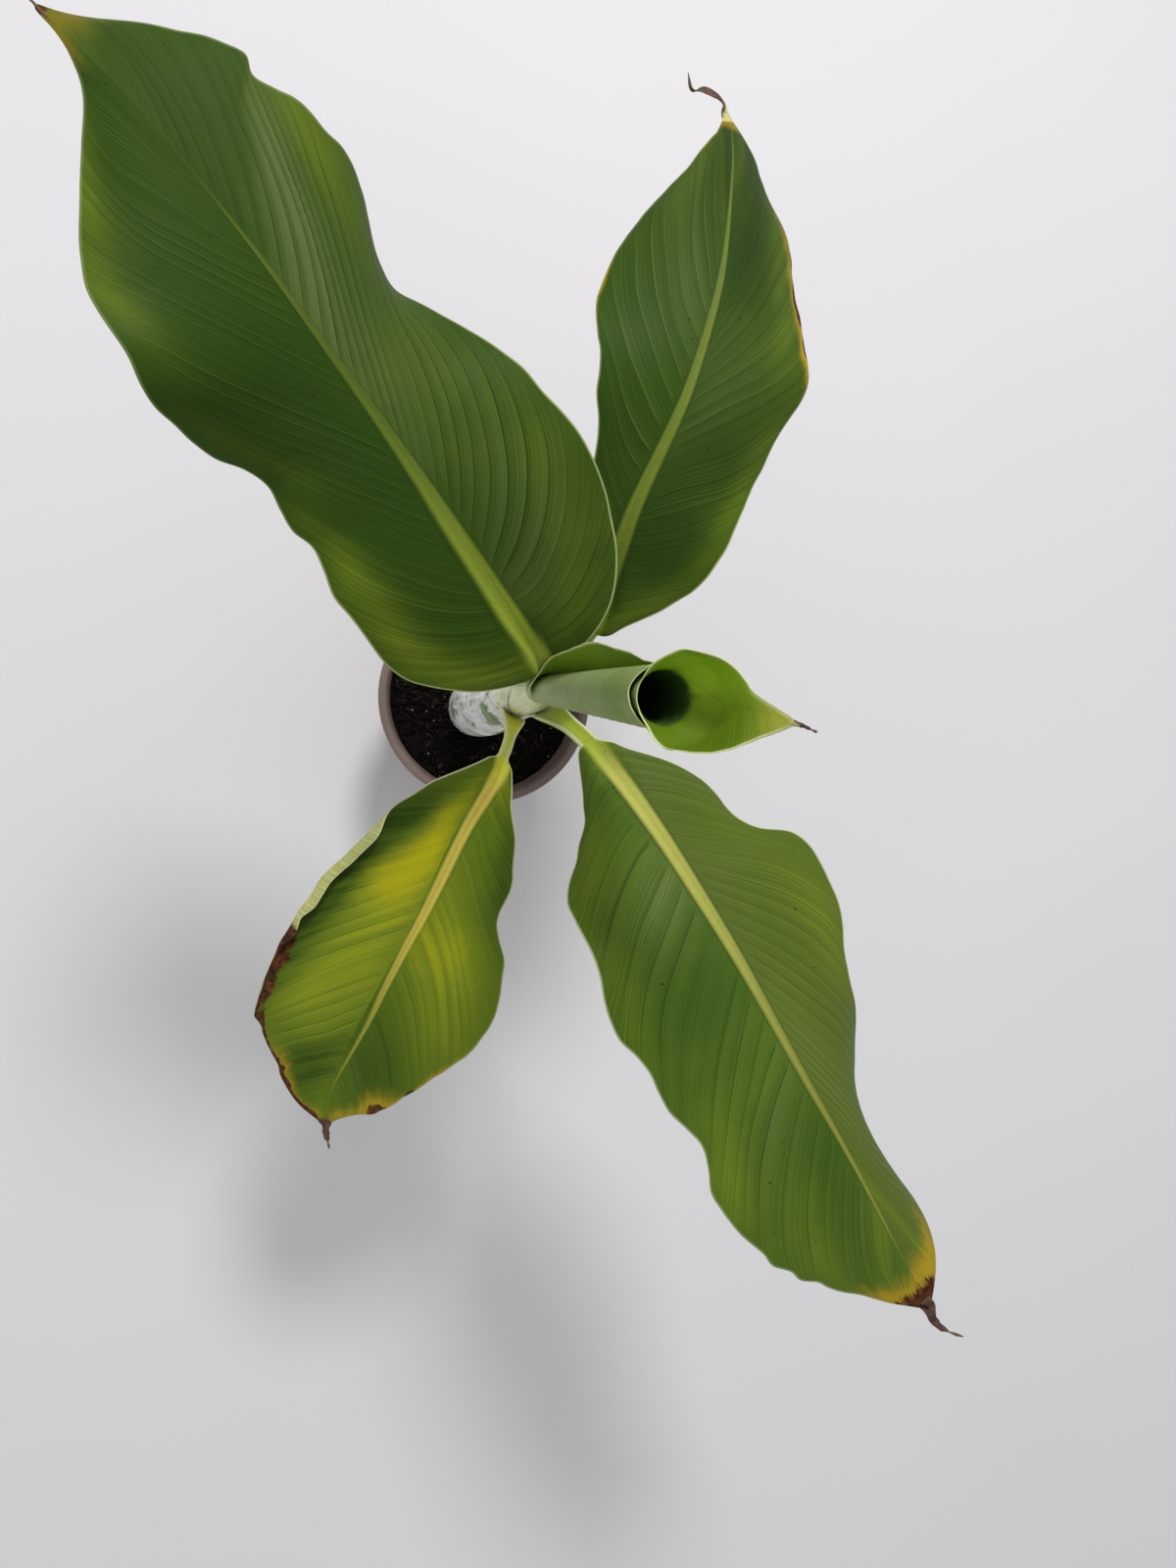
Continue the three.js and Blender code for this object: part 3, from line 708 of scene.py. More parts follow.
def centripetal(points):
    """Points of a centripetal Catmull-Rom curve through the given ones."""
    p = np.asarray(points, float)
    p = np.vstack([2 * p[0] - p[1], p, 2 * p[-1] - p[-2]])
    found = []
    for p0, p1, p2, p3 in zip(p, p[1:], p[2:], p[3:]):
        d0, d1, d2 = (math.sqrt(math.dist(a, b)) for a, b in ((p0, p1), (p1, p2), (p2, p3)))
        t1 = ((p1 - p0) / d0 - (p2 - p0) / (d0 + d1) + (p2 - p1) / d1) * d1
        t2 = ((p2 - p1) / d1 - (p3 - p1) / (d1 + d2) + (p3 - p2) / d2) * d1
        t = np.linspace(0, 1, CURVE_STEPS, endpoint=False)[:, None]
        square = -3 * p1 + 3 * p2 - 2 * t1 - t2
        cube = 2 * p1 - 2 * p2 + t1 + t2
        found.append(p1 + t1 * t + square * t**2 + cube * t**3)
    found.append(p[-2][None])
    return np.vstack(found)


class Curve:
    """A smooth line that is read by the distance along it."""

    def __init__(self, points):
        self.points = centripetal(points)
        steps = np.linalg.norm(np.diff(self.points, axis=0), axis=1)
        self.runs = np.r_[0, np.cumsum(steps)]
        self.length = self.runs[-1]

    def at(self, run):
        return np.stack([np.interp(run, self.runs, self.points[:, k]) for k in range(3)], -1)

    def forward(self, run):
        way = self.at(np.minimum(run + REACH, self.length)) - self.at(np.maximum(run - REACH, 0))
        return way / np.linalg.norm(way, axis=-1, keepdims=True)


GAP = 0.3
FOOT = {"thick": 3.4, "spread": 26, "hug": 22, "lean": 0.6, "closed": 0.8, "feather": 0.15}
NECK = {"thick": 5.0, "spread": 70}


def rib_curve(leaf):
    """A leaf's rib, from its foot on the stem up along the stem and out to the tip."""
    facing = math.radians(leaf["facing"])
    out = np.array([math.cos(facing), math.sin(facing), 0])
    reach = stem_radius(leaf["foot"], leaf["facing"]) + GAP + FOOT["thick"] / 2
    foot = stem_axis(leaf["foot"]) + out * reach
    hug = stem_axis(leaf["foot"] + FOOT["hug"]) + out * (reach + FOOT["lean"])
    return Curve([foot, hug, *leaf["rib"]])


for name, leaf in LEAVES.items():
    leaf["curve"] = rib_curve(leaf)
    print("leaf", name, "with its petiole is", round(leaf["curve"].length), "mm long")

# %% [markdown]
# A real blade is a third of a millimetre thick and stiffened by pleats: its side veins run
# out from the rib in parallel, so the sheet lies in shallow folds between them. The veins
# lean towards the tip and each half has its own fan, so it is given by a few measured vein
# lines. Between two lines the veins are spread evenly. The folds, the hollow on top of the
# rib and its round keel below are shape, because they catch the light from any side. The
# fine veins between them are left to the finish.

# %% Veins
VEIN_STOPS = 4
FIRST_VEIN = [-20, -15, 0, 30]
LAST_VEIN = [1060] * VEIN_STOPS


def vein_place(lines, u, v):
    """Where the vein through (u, v) leaves the rib, as a share of the blade's length. Each
    line gives a vein's place, in thousandths of the length, at four even shares across. A
    fifth stop carries it on past the margin, for the places where the margin bulges out."""
    lines = np.array([FIRST_VEIN, *lines, LAST_VEIN]) / 1000
    lines = np.hstack([lines, 2 * lines[:, -1:] - lines[:, -2:-1]])
    across = [along(line, v * (VEIN_STOPS - 1) / VEIN_STOPS) for line in lines]
    found = np.full(np.broadcast(u, v).shape, lines[0, 0])
    for here, there, low, high in zip(across, across[1:], lines[:, 0], lines[1:, 0]):
        found = found + np.clip((u - here) / (there - here), 0, 1) * (high - low)
    return found


def pleat(phase):
    """The height of a fold over its phase: a rounded back that ends in a sharp crease."""
    share = phase - np.floor(phase)
    return np.sin(math.pi * share**0.8) ** 0.85


print("a fold is highest at", round(0.5**1.25, 2), "of its width")

# %% Leaf sheet
LEFT, RIGHT, BOTH = 1, -1, 0
COLUMNS = 38
RIB_COLUMNS = 9
MARGIN_STOPS = [2.6, 1.5, 0.8, 0.35, 0.0]
SMALL_HALF = 16
NARROW_TO, STALK_TO, CHANNEL_TO = 0.03, 0.07, 0.16
SWEEP = {"base": -0.3, "tip": 0.35, "full": 0.7}
BLADE_HALF, MARGIN_HALF = 0.3, 0.16
SHOULDER, HOLLOW, KEEL = 0.2, 0.2, 0.85
RIPPLE = 0.4
CURL_RADIUS = 3.0
ZONES = ("lime", "yellow", "gold", "brown", "painted_sheen", "deep_green_and_shade", "turned")
ALONG_MARGIN = ("gold", "brown", "yellow", "turned")


def columns(total, rib_edge):
    """Distances from the rib at which a half has its points: close on the rib and the margin."""
    margin = np.array(MARGIN_STOPS) * np.minimum(1, total / SMALL_HALF)
    stops = COLUMNS - RIB_COLUMNS - len(MARGIN_STOPS) + 2
    spread_out = 1 - (1 - np.linspace(0, 1, stops)) ** 1.3
    on_rib = rib_edge * np.linspace(0, 1, RIB_COLUMNS + 1)[:-1]
    on_blade = rib_edge + (total - margin[:, :1] - rib_edge) * spread_out[:-1]
    return np.concatenate([on_rib, on_blade, total - margin], axis=1)


def age_and_light_marks(leaf, side, u, v, rooted):
    """How lime, golden, brown and so on a half is at each point, and where it has painted sheen and
    painted shade.
    """
    veins = leaf["left" if side > 0 else "right"]["veins"]
    marks = {}
    for kind in ZONES:
        share = np.zeros_like(v)
        for where, *numbers in leaf.get(kind, []):
            u0, v0, du, dv, strength = np.array(numbers) / 100
            if where in (BOTH, side):
                off = u - u0
                if kind not in ALONG_MARGIN:
                    off = rooted - vein_place(veins, np.array([u0]), np.array([v0]))
                share = share + strength * np.exp(-((off / du) ** 2 + ((v - v0) / dv) ** 2))
        marks[kind] = np.clip(share, 0, 1)
    return marks


def half_sheet(leaf, side, runs):
    """One half of a leaf over the given runs along its rib. Returns rows of points above and
    below, from the rib to the margin, and what the finish needs to know at each point."""
    half = leaf["left" if side > 0 else "right"]
    curve = leaf["curve"]
    stalk = leaf["stalk"]
    blade_length = curve.length - stalk
    t = np.clip(runs / stalk, 0, 1)[:, None]
    u = np.clip((runs - stalk) / blade_length, 0, 1)[:, None]
    closing = ease(t, 0, FOOT["closed"])
    foot_radius = stem_radius(leaf["foot"], leaf["facing"]) + GAP + FOOT["thick"]
    stalk_thick = mix(FOOT["thick"], NECK["thick"], t)
    bend_radius = mix(foot_radius, leaf["neck"], closing) - stalk_thick / 2
    spread = np.radians(mix(FOOT["spread"], NECK["spread"], closing))
    stalk_width = bend_radius * spread
    blade_width = along(half["width"], u)
    narrow = 1 - ease(u, 0, NARROW_TO)
    width = mix(blade_width * (1 + along(half["trim"], u) / 100), stalk_width, narrow)
    total = width
    for start, end, soft, extra in half.get("curls", []):
        total = total + extra * window(u, start, end, soft)

    rib_half = along(leaf["rib_half"], u)
    rib_side = side * along(leaf["rib_shift"], u) * ease(u, 0, 0.06)
    rib_edge = np.minimum(np.maximum(rib_half + rib_side, 0) + rib_half * 0.35 + 0.6, 0.5 * width)
    d = columns(total, rib_edge)
    v = np.clip(d / width, 0, 1)
    rise = np.radians(along(half["rise"], u))
    edge = np.radians(along(half["edge"], u))
    channel = (1 - ease(u, 0, CHANNEL_TO)) * (1 - ease(d, stalk_width, 2.2 * stalk_width))
    angle = mix(rise + (edge - rise) * v, np.minimum(d / bend_radius, spread), channel)
    angle = angle + np.maximum(d - width, 0) / half.get("curl_radius", CURL_RADIUS)
    middle = (angle[:, 1:] + angle[:, :-1]) / 2
    step = np.diff(d, axis=1)
    on_rib = np.zeros((len(runs), 1))
    across = np.concatenate([on_rib, np.cumsum(step * np.cos(middle), 1)], 1)
    lift = np.concatenate([on_rib, np.cumsum(step * np.sin(middle), 1)], 1)

    sweep = mix(SWEEP["base"], SWEEP["tip"], ease(u, 0, SWEEP["full"]))
    ahead = sweep * (blade_width - half["width"][0]) * v**2 * (1 - narrow)
    even_v = np.clip(d / mix(blade_width, stalk_width, narrow), 0, 1.2)
    rooted = vein_place(half["veins"], u, even_v)
    vein = rooted * blade_length
    drift = vein + 0.6 * np.sin(vein / 7.7 + side) + 1.2 * np.sin(vein / 19 + 2 * side)
    near, far = half["pleat"]
    growth = (far - near) / blade_length
    phase = np.log1p(np.maximum(drift, -9) * growth / near) / growth
    folded = ease(d, rib_edge - 1, rib_edge + 3) * (1 - 0.75 * ease(v, 0.72, 1)) * ease(u, 0.0, 0.08)
    folded = folded * (1 - 0.7 * ease(u, 0.75, 0.97))
    folded = folded * (0.6 + 0.4 * np.sin(vein / 23 + side) * np.sin(vein / 9.5))
    wavy = 0.9 * np.sin(runs / 6.3 + 2 * side) + 0.7 * np.sin(runs / 10.1 + 1)
    lift = lift + RIPPLE * wavy[:, None] * ease(v, 0.55, 1) * ease(u, 0.05, 0.2)
    height = half["fold"] * pleat(phase) * folded

    stalk_share = 1 - ease(u, 0, STALK_TO)
    sheet_half = mix(BLADE_HALF, MARGIN_HALF, ease(total - d, 4, 0))
    across_rib = np.abs(d - rib_side) / rib_half
    hollow = SHOULDER * dome(across_rib / 1.1) - leaf.get("hollow", HOLLOW) * bell(across_rib / 0.45)
    keel = KEEL * dome(across_rib / 1.12)
    rounded = stalk_thick / 2 * np.sqrt(np.clip(1 - 0.92 * (d / total) ** 2, 0, 1))
    feather = 2 * mix(FOOT["feather"], 1, ease(t, 0, 0.4)) - 1
    thick_top = mix(sheet_half + rib_half * hollow, rounded, stalk_share)
    thick_low = mix(sheet_half + rib_half * keel, rounded * feather, stalk_share)

    forward = curve.forward(runs)[:, None, :]
    facing = math.radians(leaf["facing"])
    left = np.array([-math.sin(facing), math.cos(facing), 0.0])
    left = left - forward * (forward @ left)[..., None]
    left /= np.linalg.norm(left, axis=-1, keepdims=True)
    above = np.cross(forward, left)
    normal = -side * np.sin(angle)[..., None] * left + np.cos(angle)[..., None] * above
    sheet = curve.at(runs)[:, None, :] + side * across[..., None] * left + lift[..., None] * above
    sheet = sheet + ahead[..., None] * forward + height[..., None] * normal

    fading = ease(rib_half, 0.25, 1.1)
    line_kind, other_kind = ("crease", "ridge") if half["fold"] > 0 else ("ridge", "crease")
    marks = {
        "vein": vein * MM,
        "fold": phase,
        "folded": folded,
        line_kind: folded * half["lines"],
        other_kind: 0 * d,
        "rib": (1 - ease(across_rib, 0.55, 1.2)) * fading,
        "rib_edge": bell((across_rib - 1.08) / 0.16) * fading * (1 - stalk_share),
        "groove": bell(across_rib / 0.33) * (1 - stalk_share),
        "rim": np.maximum(total - d, 0) * MM,
        "stalk": (1 - ease(u, 0.0, 0.1)) * (1 - ease(across_rib, 1.0, 1.5)),
        "foot": 1 - ease(t, 0.0, 0.45) + 0 * d,
        "left_half": float(side > 0) + 0 * d,
        "far": u + 0 * d,
        **age_and_light_marks(leaf, side, u, v, rooted),
    }
    return sheet + thick_top[..., None] * normal, sheet - thick_low[..., None] * normal, marks


def leaf_piece(name, leaf, runs):
    """Joins both halves, above and below, into one closed sheet."""
    left, right = (half_sheet(leaf, side, runs) for side in (LEFT, RIGHT))
    top, low = (np.concatenate([left[k][:, ::-1], right[k][:, 1:]], 1) for k in (0, 1))
    marks = {}
    for key in left[2]:
        row = np.concatenate([left[2][key][:, ::-1], right[2][key][:, 1:]], 1)
        marks[key] = np.concatenate([row, row[:, ::-1]], 1)
    marks["under"] = np.zeros_like(marks["rib"])
    marks["under"][:, top.shape[1]:] = 1
    return ring_piece(name, np.concatenate([top, low[:, ::-1]], 1), marks)


# %% [markdown]
# The finish of a leaf is built from what the sheet knows about itself: how far a point is
# along the veins, from the rib and from the margin, and which fold it is on. Fine vein lines
# come from noise along the veins. Each fold gets a dark crease line of painted shade and a
# painted shading from light to dark across it, and a dark line of painted shade runs along each
# edge of the rib. Each half has a tone of its own as painted light and shade, and the far part
# of a blade can be darkened as painted shade. Yellowed and dried places are ovals on the sheet
# whose edges are broken up by noise and drawn out along the veins, as real ones are. Ovals of
# painted sheen and painted shade are laid in the same way.


# %% Leaf finish
def leaf_finish(name, look):
    """A leaf's material from its table of colours and shares."""
    leaf = Finish(name)
    vein, far, under, folded = (leaf.mark(key) for key in ("vein", "far", "under", "folded"))
    cloud = leaf.noise(16, 4, 0.55)
    speck = leaf.noise(260, 3, 0.6)
    fine = leaf.line_noise(vein, 1000, 1.5)
    band = leaf.line_noise(vein, 120, 2.0)
    clouded = leaf.ramp(cloud, 0.34, 0.66)
    share = leaf.math("FRACT", leaf.mark("fold"))
    from_crease = abs(share - 0.5)
    patchy = leaf.ramp(band, 0.3, 0.7, 0.6, 1.0)
    # painted sheen share: strongest just past each crease, fading across the fold
    fold_sheen_share = patchy * leaf.ramp(share, 0.05, 0.95, 1.1, 0.45)
    green = leaf.layers(
        leaf.blend(clouded, look["green"], look["light"]),
        (leaf.ramp(band, 0.35, 0.7, 0.0, 0.22), look["dark"]),
        # painted light and shade: each half gets a tone of its own for how it faces the lamp
        (leaf.mark("left_half") * look["left_painted_light_share"], look["left"]),
        (leaf.mark("lime") * patchy, look["lime"]),
        # painted sheen: a lighter grey-green tone laid over the green
        (leaf.mark("painted_sheen") * fold_sheen_share, look["painted_sheen"]),
        # deeper green tissue and painted shade: cast shadows and margins that turn away from the lamp
        (leaf.mark("deep_green_and_shade") * patchy, look["deep_green_and_shade"]),
        # painted shade: a steep dark band where the blade turns away from the lamp
        (leaf.ramp(leaf.mark("turned"), 0.3, 0.65, 0.0, 0.85), look["turned"]),
    )
    # painted shading across each fold: lighter just past the crease, darker before the next
    fold_painted_shading = (share - 0.5) * (folded * -0.3)
    threads = leaf.math("SINE", (vein + band * 0.0016) * 3700) * 0.07
    streaks_and_fold_shading = threads + (fold_painted_shading + leaf.ramp(fine, 0.3, 0.7, 0.88, 1.12))
    green = leaf.scale(green, streaks_and_fold_shading)
    # painted shade: darkens the far part of the blade
    green = leaf.scale(green, leaf.ramp(far, 0.4, 0.9, 1.0, look["far_painted_shade"]))
    uneven = (speck - 0.5) * 0.3 + ((cloud - 0.5) * 0.7 + (band - 0.5) * 0.5)

    def broken(kind, low, high):
        """The share of a marked place whose edge is broken up by noise."""
        mark = leaf.mark(kind)
        return leaf.ramp(mark + uneven, low, high) * leaf.ramp(mark, 0.03, 0.15)

    below = leaf.scale(leaf.blend(clouded, look["under"], look["under_dark"]), streaks_and_fold_shading)
    below_line = leaf.ramp(from_crease, 0.4, 0.49, 0.0, 0.7) * folded
    rib = leaf.layers(
        leaf.blend(leaf.ramp(far, *look["rib_fade"]), look["rib"], look["rib_far"]),
        (leaf.mark("groove") * look["groove_share"], look["groove"]),
        (under, look["under_rib"]),
        (leaf.ramp(speck, 0.45, 0.75, 0.0, 0.12), look["light"]),
    )
    stalk = leaf.blend(leaf.ramp(cloud, 0.35, 0.7), look["stalk"], look["stalk_dark"])
    from_rim = leaf.mark("rim") + leaf.mark("stalk") * 0.0005
    rim_line = leaf.ramp(from_rim, 0.0004, 0.0013, 1.0, 0.0)
    brown = broken("brown", 0.38, 0.58)
    colour = leaf.layers(
        green,
        # painted shade: a dark line in each crease
        (leaf.ramp(from_crease, 0.43, 0.49) * leaf.mark("crease"), look["crease"]),
        (leaf.ramp(from_crease, 0.455, 0.49) * leaf.mark("ridge"), look["ridge"]),
        (broken("yellow", 0.0, 1.25), look["yellow"]),
        (under, leaf.blend(below_line, below, look["under_vein"])),
        # painted shade: a dark line along each edge of the rib
        (leaf.mark("rib_edge") * 0.5, look["crease"]),
        (leaf.mark("rib") * look["rib_share"], rib),
        (leaf.mark("stalk"), stalk),
        (rim_line * leaf.ramp(far, 0.1, 0.6, 0.9, 0.25), look["rim"]),
        (leaf.mark("foot"), look["foot"]),
        (broken("gold", 0.0, 0.9), look["gold"]),
        (brown, leaf.blend(leaf.ramp(speck, 0.35, 0.65), look["brown"], look["brown_dark"])),
        (leaf.ramp(leaf.noise(330, 1, 0.3), 0.805, 0.825, 0.0, 0.85), look["blemish"]),
    )
    leaf.bump(fine * 0.65 + speck * 0.35, 0.0005, 0.6)
    gloss = leaf.ramp(cloud, 0.35, 0.7, look["gloss"] - 0.05, look["gloss"] + 0.05)
    return leaf.done(colour, leaf.ramp(brown, 0, 1, gloss, 0.8), Specular_IOR_Level=look["shine"])


# The crease colour is the painted shade in the creases and along the rib's edges.
BASE_LOOK = {
    "green": (36, 75, 6), "light": (56, 100, 9), "dark": (22, 56, 5), "left": (26, 62, 5),
    "left_painted_light_share": 0.8, "lime": (160, 240, 13), "yellow": (360, 350, 12), "gold": (360, 250, 14),
    "brown": (110, 35, 10), "brown_dark": (30, 12, 6), "painted_sheen": (110, 150, 40), "deep_green_and_shade": (20, 52, 6),
    "turned": (34, 68, 7), "crease": (12, 32, 4), "ridge": (130, 200, 35), "under": (170, 230, 70),
    "under_dark": (115, 170, 45), "under_vein": (270, 340, 130), "under_rib": (300, 370, 100),
    "foot": (720, 750, 480), "rim": (420, 480, 200), "rib": (190, 260, 24), "rib_far": (80, 120, 16),
    "groove": (130, 190, 20), "groove_share": 0.35, "rib_share": 0.95, "rib_fade": (0.0, 0.75),
    "far_painted_shade": 1.0, "stalk": (300, 380, 35), "stalk_dark": (220, 310, 30), "gloss": 0.52,
    "shine": 0.06, "blemish": (18, 16, 5),
}
LOOKS = {
    "1": {
        "gold": (170, 145, 12), "painted_sheen": (130, 172, 54), "rib": (330, 410, 40), "lime": (155, 210, 12),
        "light": (60, 98, 9), "rib_fade": (0.0, 0.55), "stalk": (420, 490, 70),
        "stalk_dark": (340, 420, 50),
    },
    "2": {
        "green": (30, 64, 7), "light": (46, 85, 9), "left": (34, 74, 7), "rib": (190, 250, 28),
        "rib_far": (140, 180, 35), "painted_sheen": (100, 135, 30), "far_painted_shade": 0.72,
    },
    "3": {
        "green": (55, 108, 10), "light": (80, 135, 13), "dark": (36, 80, 8), "left": (90, 125, 16),
        "lime": (170, 230, 13), "rib": (500, 490, 110), "rib_far": (150, 170, 26), "deep_green_and_shade": (28, 70, 7),
        "groove": (420, 420, 80), "painted_sheen": (140, 180, 45), "stalk": (380, 430, 50),
        "stalk_dark": (300, 370, 40), "rim": (600, 660, 380),
    },
    "4": {
        "green": (100, 160, 12), "light": (135, 200, 14), "dark": (70, 120, 10), "left": (90, 145, 10),
        "yellow": (400, 370, 8), "rib": (600, 490, 85), "rib_far": (190, 250, 22),
        "groove": (360, 245, 45), "under": (500, 490, 190), "under_dark": (400, 420, 140),
        "under_vein": (580, 580, 280), "under_rib": (560, 520, 160), "foot": (800, 820, 680),
        "stalk": (780, 760, 80), "stalk_dark": (600, 620, 60), "rim": (700, 700, 420),
        "deep_green_and_shade": (28, 58, 5), "crease": (40, 66, 8), "painted_sheen": (75, 110, 35), "lime": (240, 280, 14),
        "groove_share": 0.5, "rib_fade": (0.35, 0.85), "brown": (130, 50, 18),
        "brown_dark": (40, 16, 9),
    },
}
print("leaf finishes share", len(BASE_LOOK), "values")

# %% [markdown]
# Each leaf has its own history. These lists say how its margin waves, how its veins fan, how
# thick its rib is, and where it is lime, yellow, golden or brown. They also say where a painted
# sheen lies, where deeper green and painted shade darken it, and where painted shade marks a
# part that turns away from the lamp. Such a place is a half, then in hundredths where it lies
# along the blade and across the half, how far it reaches both ways and how strong it is. A trim
# widens the half, in hundredths too.

# %% Marks of age, painted sheen and painted shade
LEAVES["1"].update({
    "rib_half": [8.5, 7, 5.8, 4.9, 3.4, 2.4, 1.6, 0.9, 0.4, 0.2, 0.2],
    "rib_shift": [0, 2, 2.8, 3.0, 1.8, 0.5, 0.2, 0, 0, 0, 0],
    "lime": [(LEFT, 16, 84, 6, 18, 40), (LEFT, 28, 80, 5, 16, 60), (LEFT, 50, 80, 4, 15, 20),
        (LEFT, 68, 92, 5, 14, 50), (RIGHT, 68, 85, 6, 25, 50), (RIGHT, 24, 72, 7, 25, 30),
        (RIGHT, 10, 55, 4, 25, 35), (LEFT, 79, 97, 9, 18, 65), (LEFT, 5, 50, 5, 70, 60)],
    "gold": [(BOTH, 98.5, 40, 3.5, 120, 90), (LEFT, 94.5, 60, 4, 60, 50)],
    "brown": [(BOTH, 100, 30, 1.2, 200, 100)],
    # painted shade where the right half turns away from the lamp
    "turned": [(RIGHT, 82, 20, 10, 50, 100), (RIGHT, 86, 75, 7.5, 50, 100)],
    "painted_sheen": [(RIGHT, 48, 20, 7, 35, 35), (RIGHT, 66, 35, 9, 65, 90), (RIGHT, 22, 35, 10, 40, 30)],
    "deep_green_and_shade": [(LEFT, 42, 30, 14, 35, 70), (LEFT, 60, 30, 10, 30, 50), (RIGHT, 42, 92, 10, 20, 45),
        (RIGHT, 7, 35, 4, 40, 40), (RIGHT, 86, 40, 8, 80, 100)],
})
LEAVES["1"]["left"].update({
    "fold": -0.3, "pleat": (7.2, 9.5), "lines": 0.35,
    "veins": [[86, 96, 136, 229], [114, 136, 204, 321], [164, 246, 350, 464], [236, 332, 432, 543],
        [325, 429, 518, 614], [414, 525, 614, 679], [493, 604, 682, 736], [643, 721, 775, 843],
        [729, 857, 900, 936]],
    "trim": [0, 0, 0, 0, 0, 0, 2, 4, 3, 1, -1, -2, -2, -1, -5, -7, -2, -5, -10, -7, 1, 2, 1, 3, 3, 1, 2,
        4, 6, 6, 7, 7, 6, 3, -2, -12, -22, -34, -52, -58, -40],
})
LEAVES["1"]["right"].update({
    "fold": 0.5, "pleat": (7.0, 15.0), "lines": 1.0,
    "veins": [[57, 61, 75, 136], [89, 100, 146, 250], [143, 154, 225, 343], [182, 232, 318, 429],
        [221, 293, 391, 475], [286, 382, 479, 564], [371, 496, 593, 664], [457, 589, 686, 757],
        [564, 651, 743, 800], [664, 739, 807, 857], [743, 850, 921, 957]],
    "trim": [0, 0, 0, 0, 0, 0, 0, 0, 0, 1, 1, 1, 1, 0, -1, 1, 0, 0, 2, 5, 2, 2, 1, 2, 3, 5, 5, 2, 3, 3,
        -2, -4, 10, 10, 10, 8, 10, 10, 7, 4, 1],
})
LEAVES["2"].update({
    "rib_half": [7, 5.5, 4.5, 3.5, 2.9, 2.3, 2.0, 1.3, 0.9, 0.7, 0.5],
    "rib_shift": [0, 1.5, 1.0, -2.2, -1.2, -0.2, 0.2, 0.3, 0, -1, -2],
    "lime": [(LEFT, 84, 80, 8, 25, 35), (RIGHT, 8, 70, 5, 35, 55), (RIGHT, 30, 90, 10, 16, 50),
        (RIGHT, 62, 78, 10, 22, 45), (BOTH, 93, 50, 5, 90, 30)],
    "painted_sheen": [(LEFT, 20, 55, 4, 30, 60), (LEFT, 56, 25, 6, 40, 55), (RIGHT, 43, 30, 6, 35, 45)],
    "deep_green_and_shade": [(LEFT, 30, 45, 5, 50, 40), (RIGHT, 22, 40, 12, 40, 65), (RIGHT, 66, 20, 6, 30, 70)],
    "gold": [(RIGHT, 54, 100, 5, 6, 95), (RIGHT, 63, 98, 7, 9, 70), (RIGHT, 75, 95, 6, 10, 35),
        (LEFT, 50, 101, 7, 3, 70), (LEFT, 93, 100, 5, 10, 50), (BOTH, 98.5, 50, 2, 150, 70)],
    "brown": [(RIGHT, 62, 100, 4.5, 6, 100), (RIGHT, 55, 101, 2.5, 3.5, 90), (RIGHT, 70, 101, 3, 3, 90),
        (LEFT, 62, 101, 4, 2, 100), (BOTH, 100, 50, 1.2, 150, 90)],
})
LEAVES["2"]["left"].update({
    "fold": -0.5, "pleat": (9.0, 14.0), "lines": 0.6,
    "veins": [[71, 93, 121, 164], [214, 250, 296, 350], [289, 305, 341, 414], [336, 355, 393, 493],
        [368, 407, 479, 600], [414, 479, 571, 700], [493, 561, 700, 800], [529, 636, 807, 879],
        [571, 736, 886, 929], [621, 871, 936, 964]],
    "trim": [0, 0, 0, 0, 0, 0, 0, 0, 0, -3, -8, -10, -10, -7, -1, -3, -3, 0, 3, 4, 3, 3, 4, 5, 5, 5, 5,
        6, 6, 6, 6, 6, 4, 3, 6, 10, 10, 6, -5, -3, -1],
})
LEAVES["2"]["right"].update({
    "fold": 0.45, "pleat": (7.5, 10.5), "lines": 0.6,
    "veins": [[68, 86, 114, 164], [139, 154, 187, 257], [204, 236, 284, 350], [257, 329, 386, 457],
        [329, 407, 464, 529], [379, 457, 521, 600], [421, 514, 607, 679], [486, 643, 757, 821],
        [607, 757, 850, 907]],
    "trim": [-4, -10, -15, -9, -2, 0, 2, 2, 1, 2, 2, 3, 4, 4, 4, 5, 4, 4, 5, 7, 7, 4, 2, 3, 3, -2, -3,
        -3, 1, 2, 3, 2, -3, -9, -12, -11, 0, 10, 10, 5, 1],
})
LEAVES["3"].update({
    "rib_half": [7.4, 5.4, 4.4, 3.8, 3.2, 2.6, 2.2, 1.7, 1.1, 0.6, 0.4],
    "rib_shift": [0, 1, 0.8, -0.4, -0.9, -0.9, -0.5, -0.2, -0.8, -1, -1],
    "lime": [(LEFT, 26, 75, 5, 25, 30), (LEFT, 43, 80, 6, 25, 45), (RIGHT, 18, 75, 4, 25, 60),
        (RIGHT, 40, 85, 6, 15, 30), (RIGHT, 62, 85, 7, 20, 55), (RIGHT, 80, 75, 5, 30, 40),
        (BOTH, 91, 50, 3.5, 90, 55)],
    "painted_sheen": [(LEFT, 11, 50, 5, 40, 45), (LEFT, 58, 15, 12, 20, 45), (RIGHT, 28, 20, 5, 30, 50),
        (RIGHT, 60, 30, 4, 40, 35)],
    "deep_green_and_shade": [(RIGHT, 13, 45, 4, 35, 45), (RIGHT, 42, 40, 8, 30, 50), (LEFT, 18, 60, 8, 45, 35),
        (RIGHT, 45, 85, 5, 20, 50), (RIGHT, 76, 25, 8, 35, 60)],
    "gold": [(RIGHT, 96.5, 50, 3.5, 150, 90), (LEFT, 95, 50, 3.5, 150, 90), (LEFT, 90, 80, 5, 20, 40),
        (RIGHT, 93, 90, 4, 20, 50)],
    "brown": [(BOTH, 100, 50, 5, 250, 100)],
})
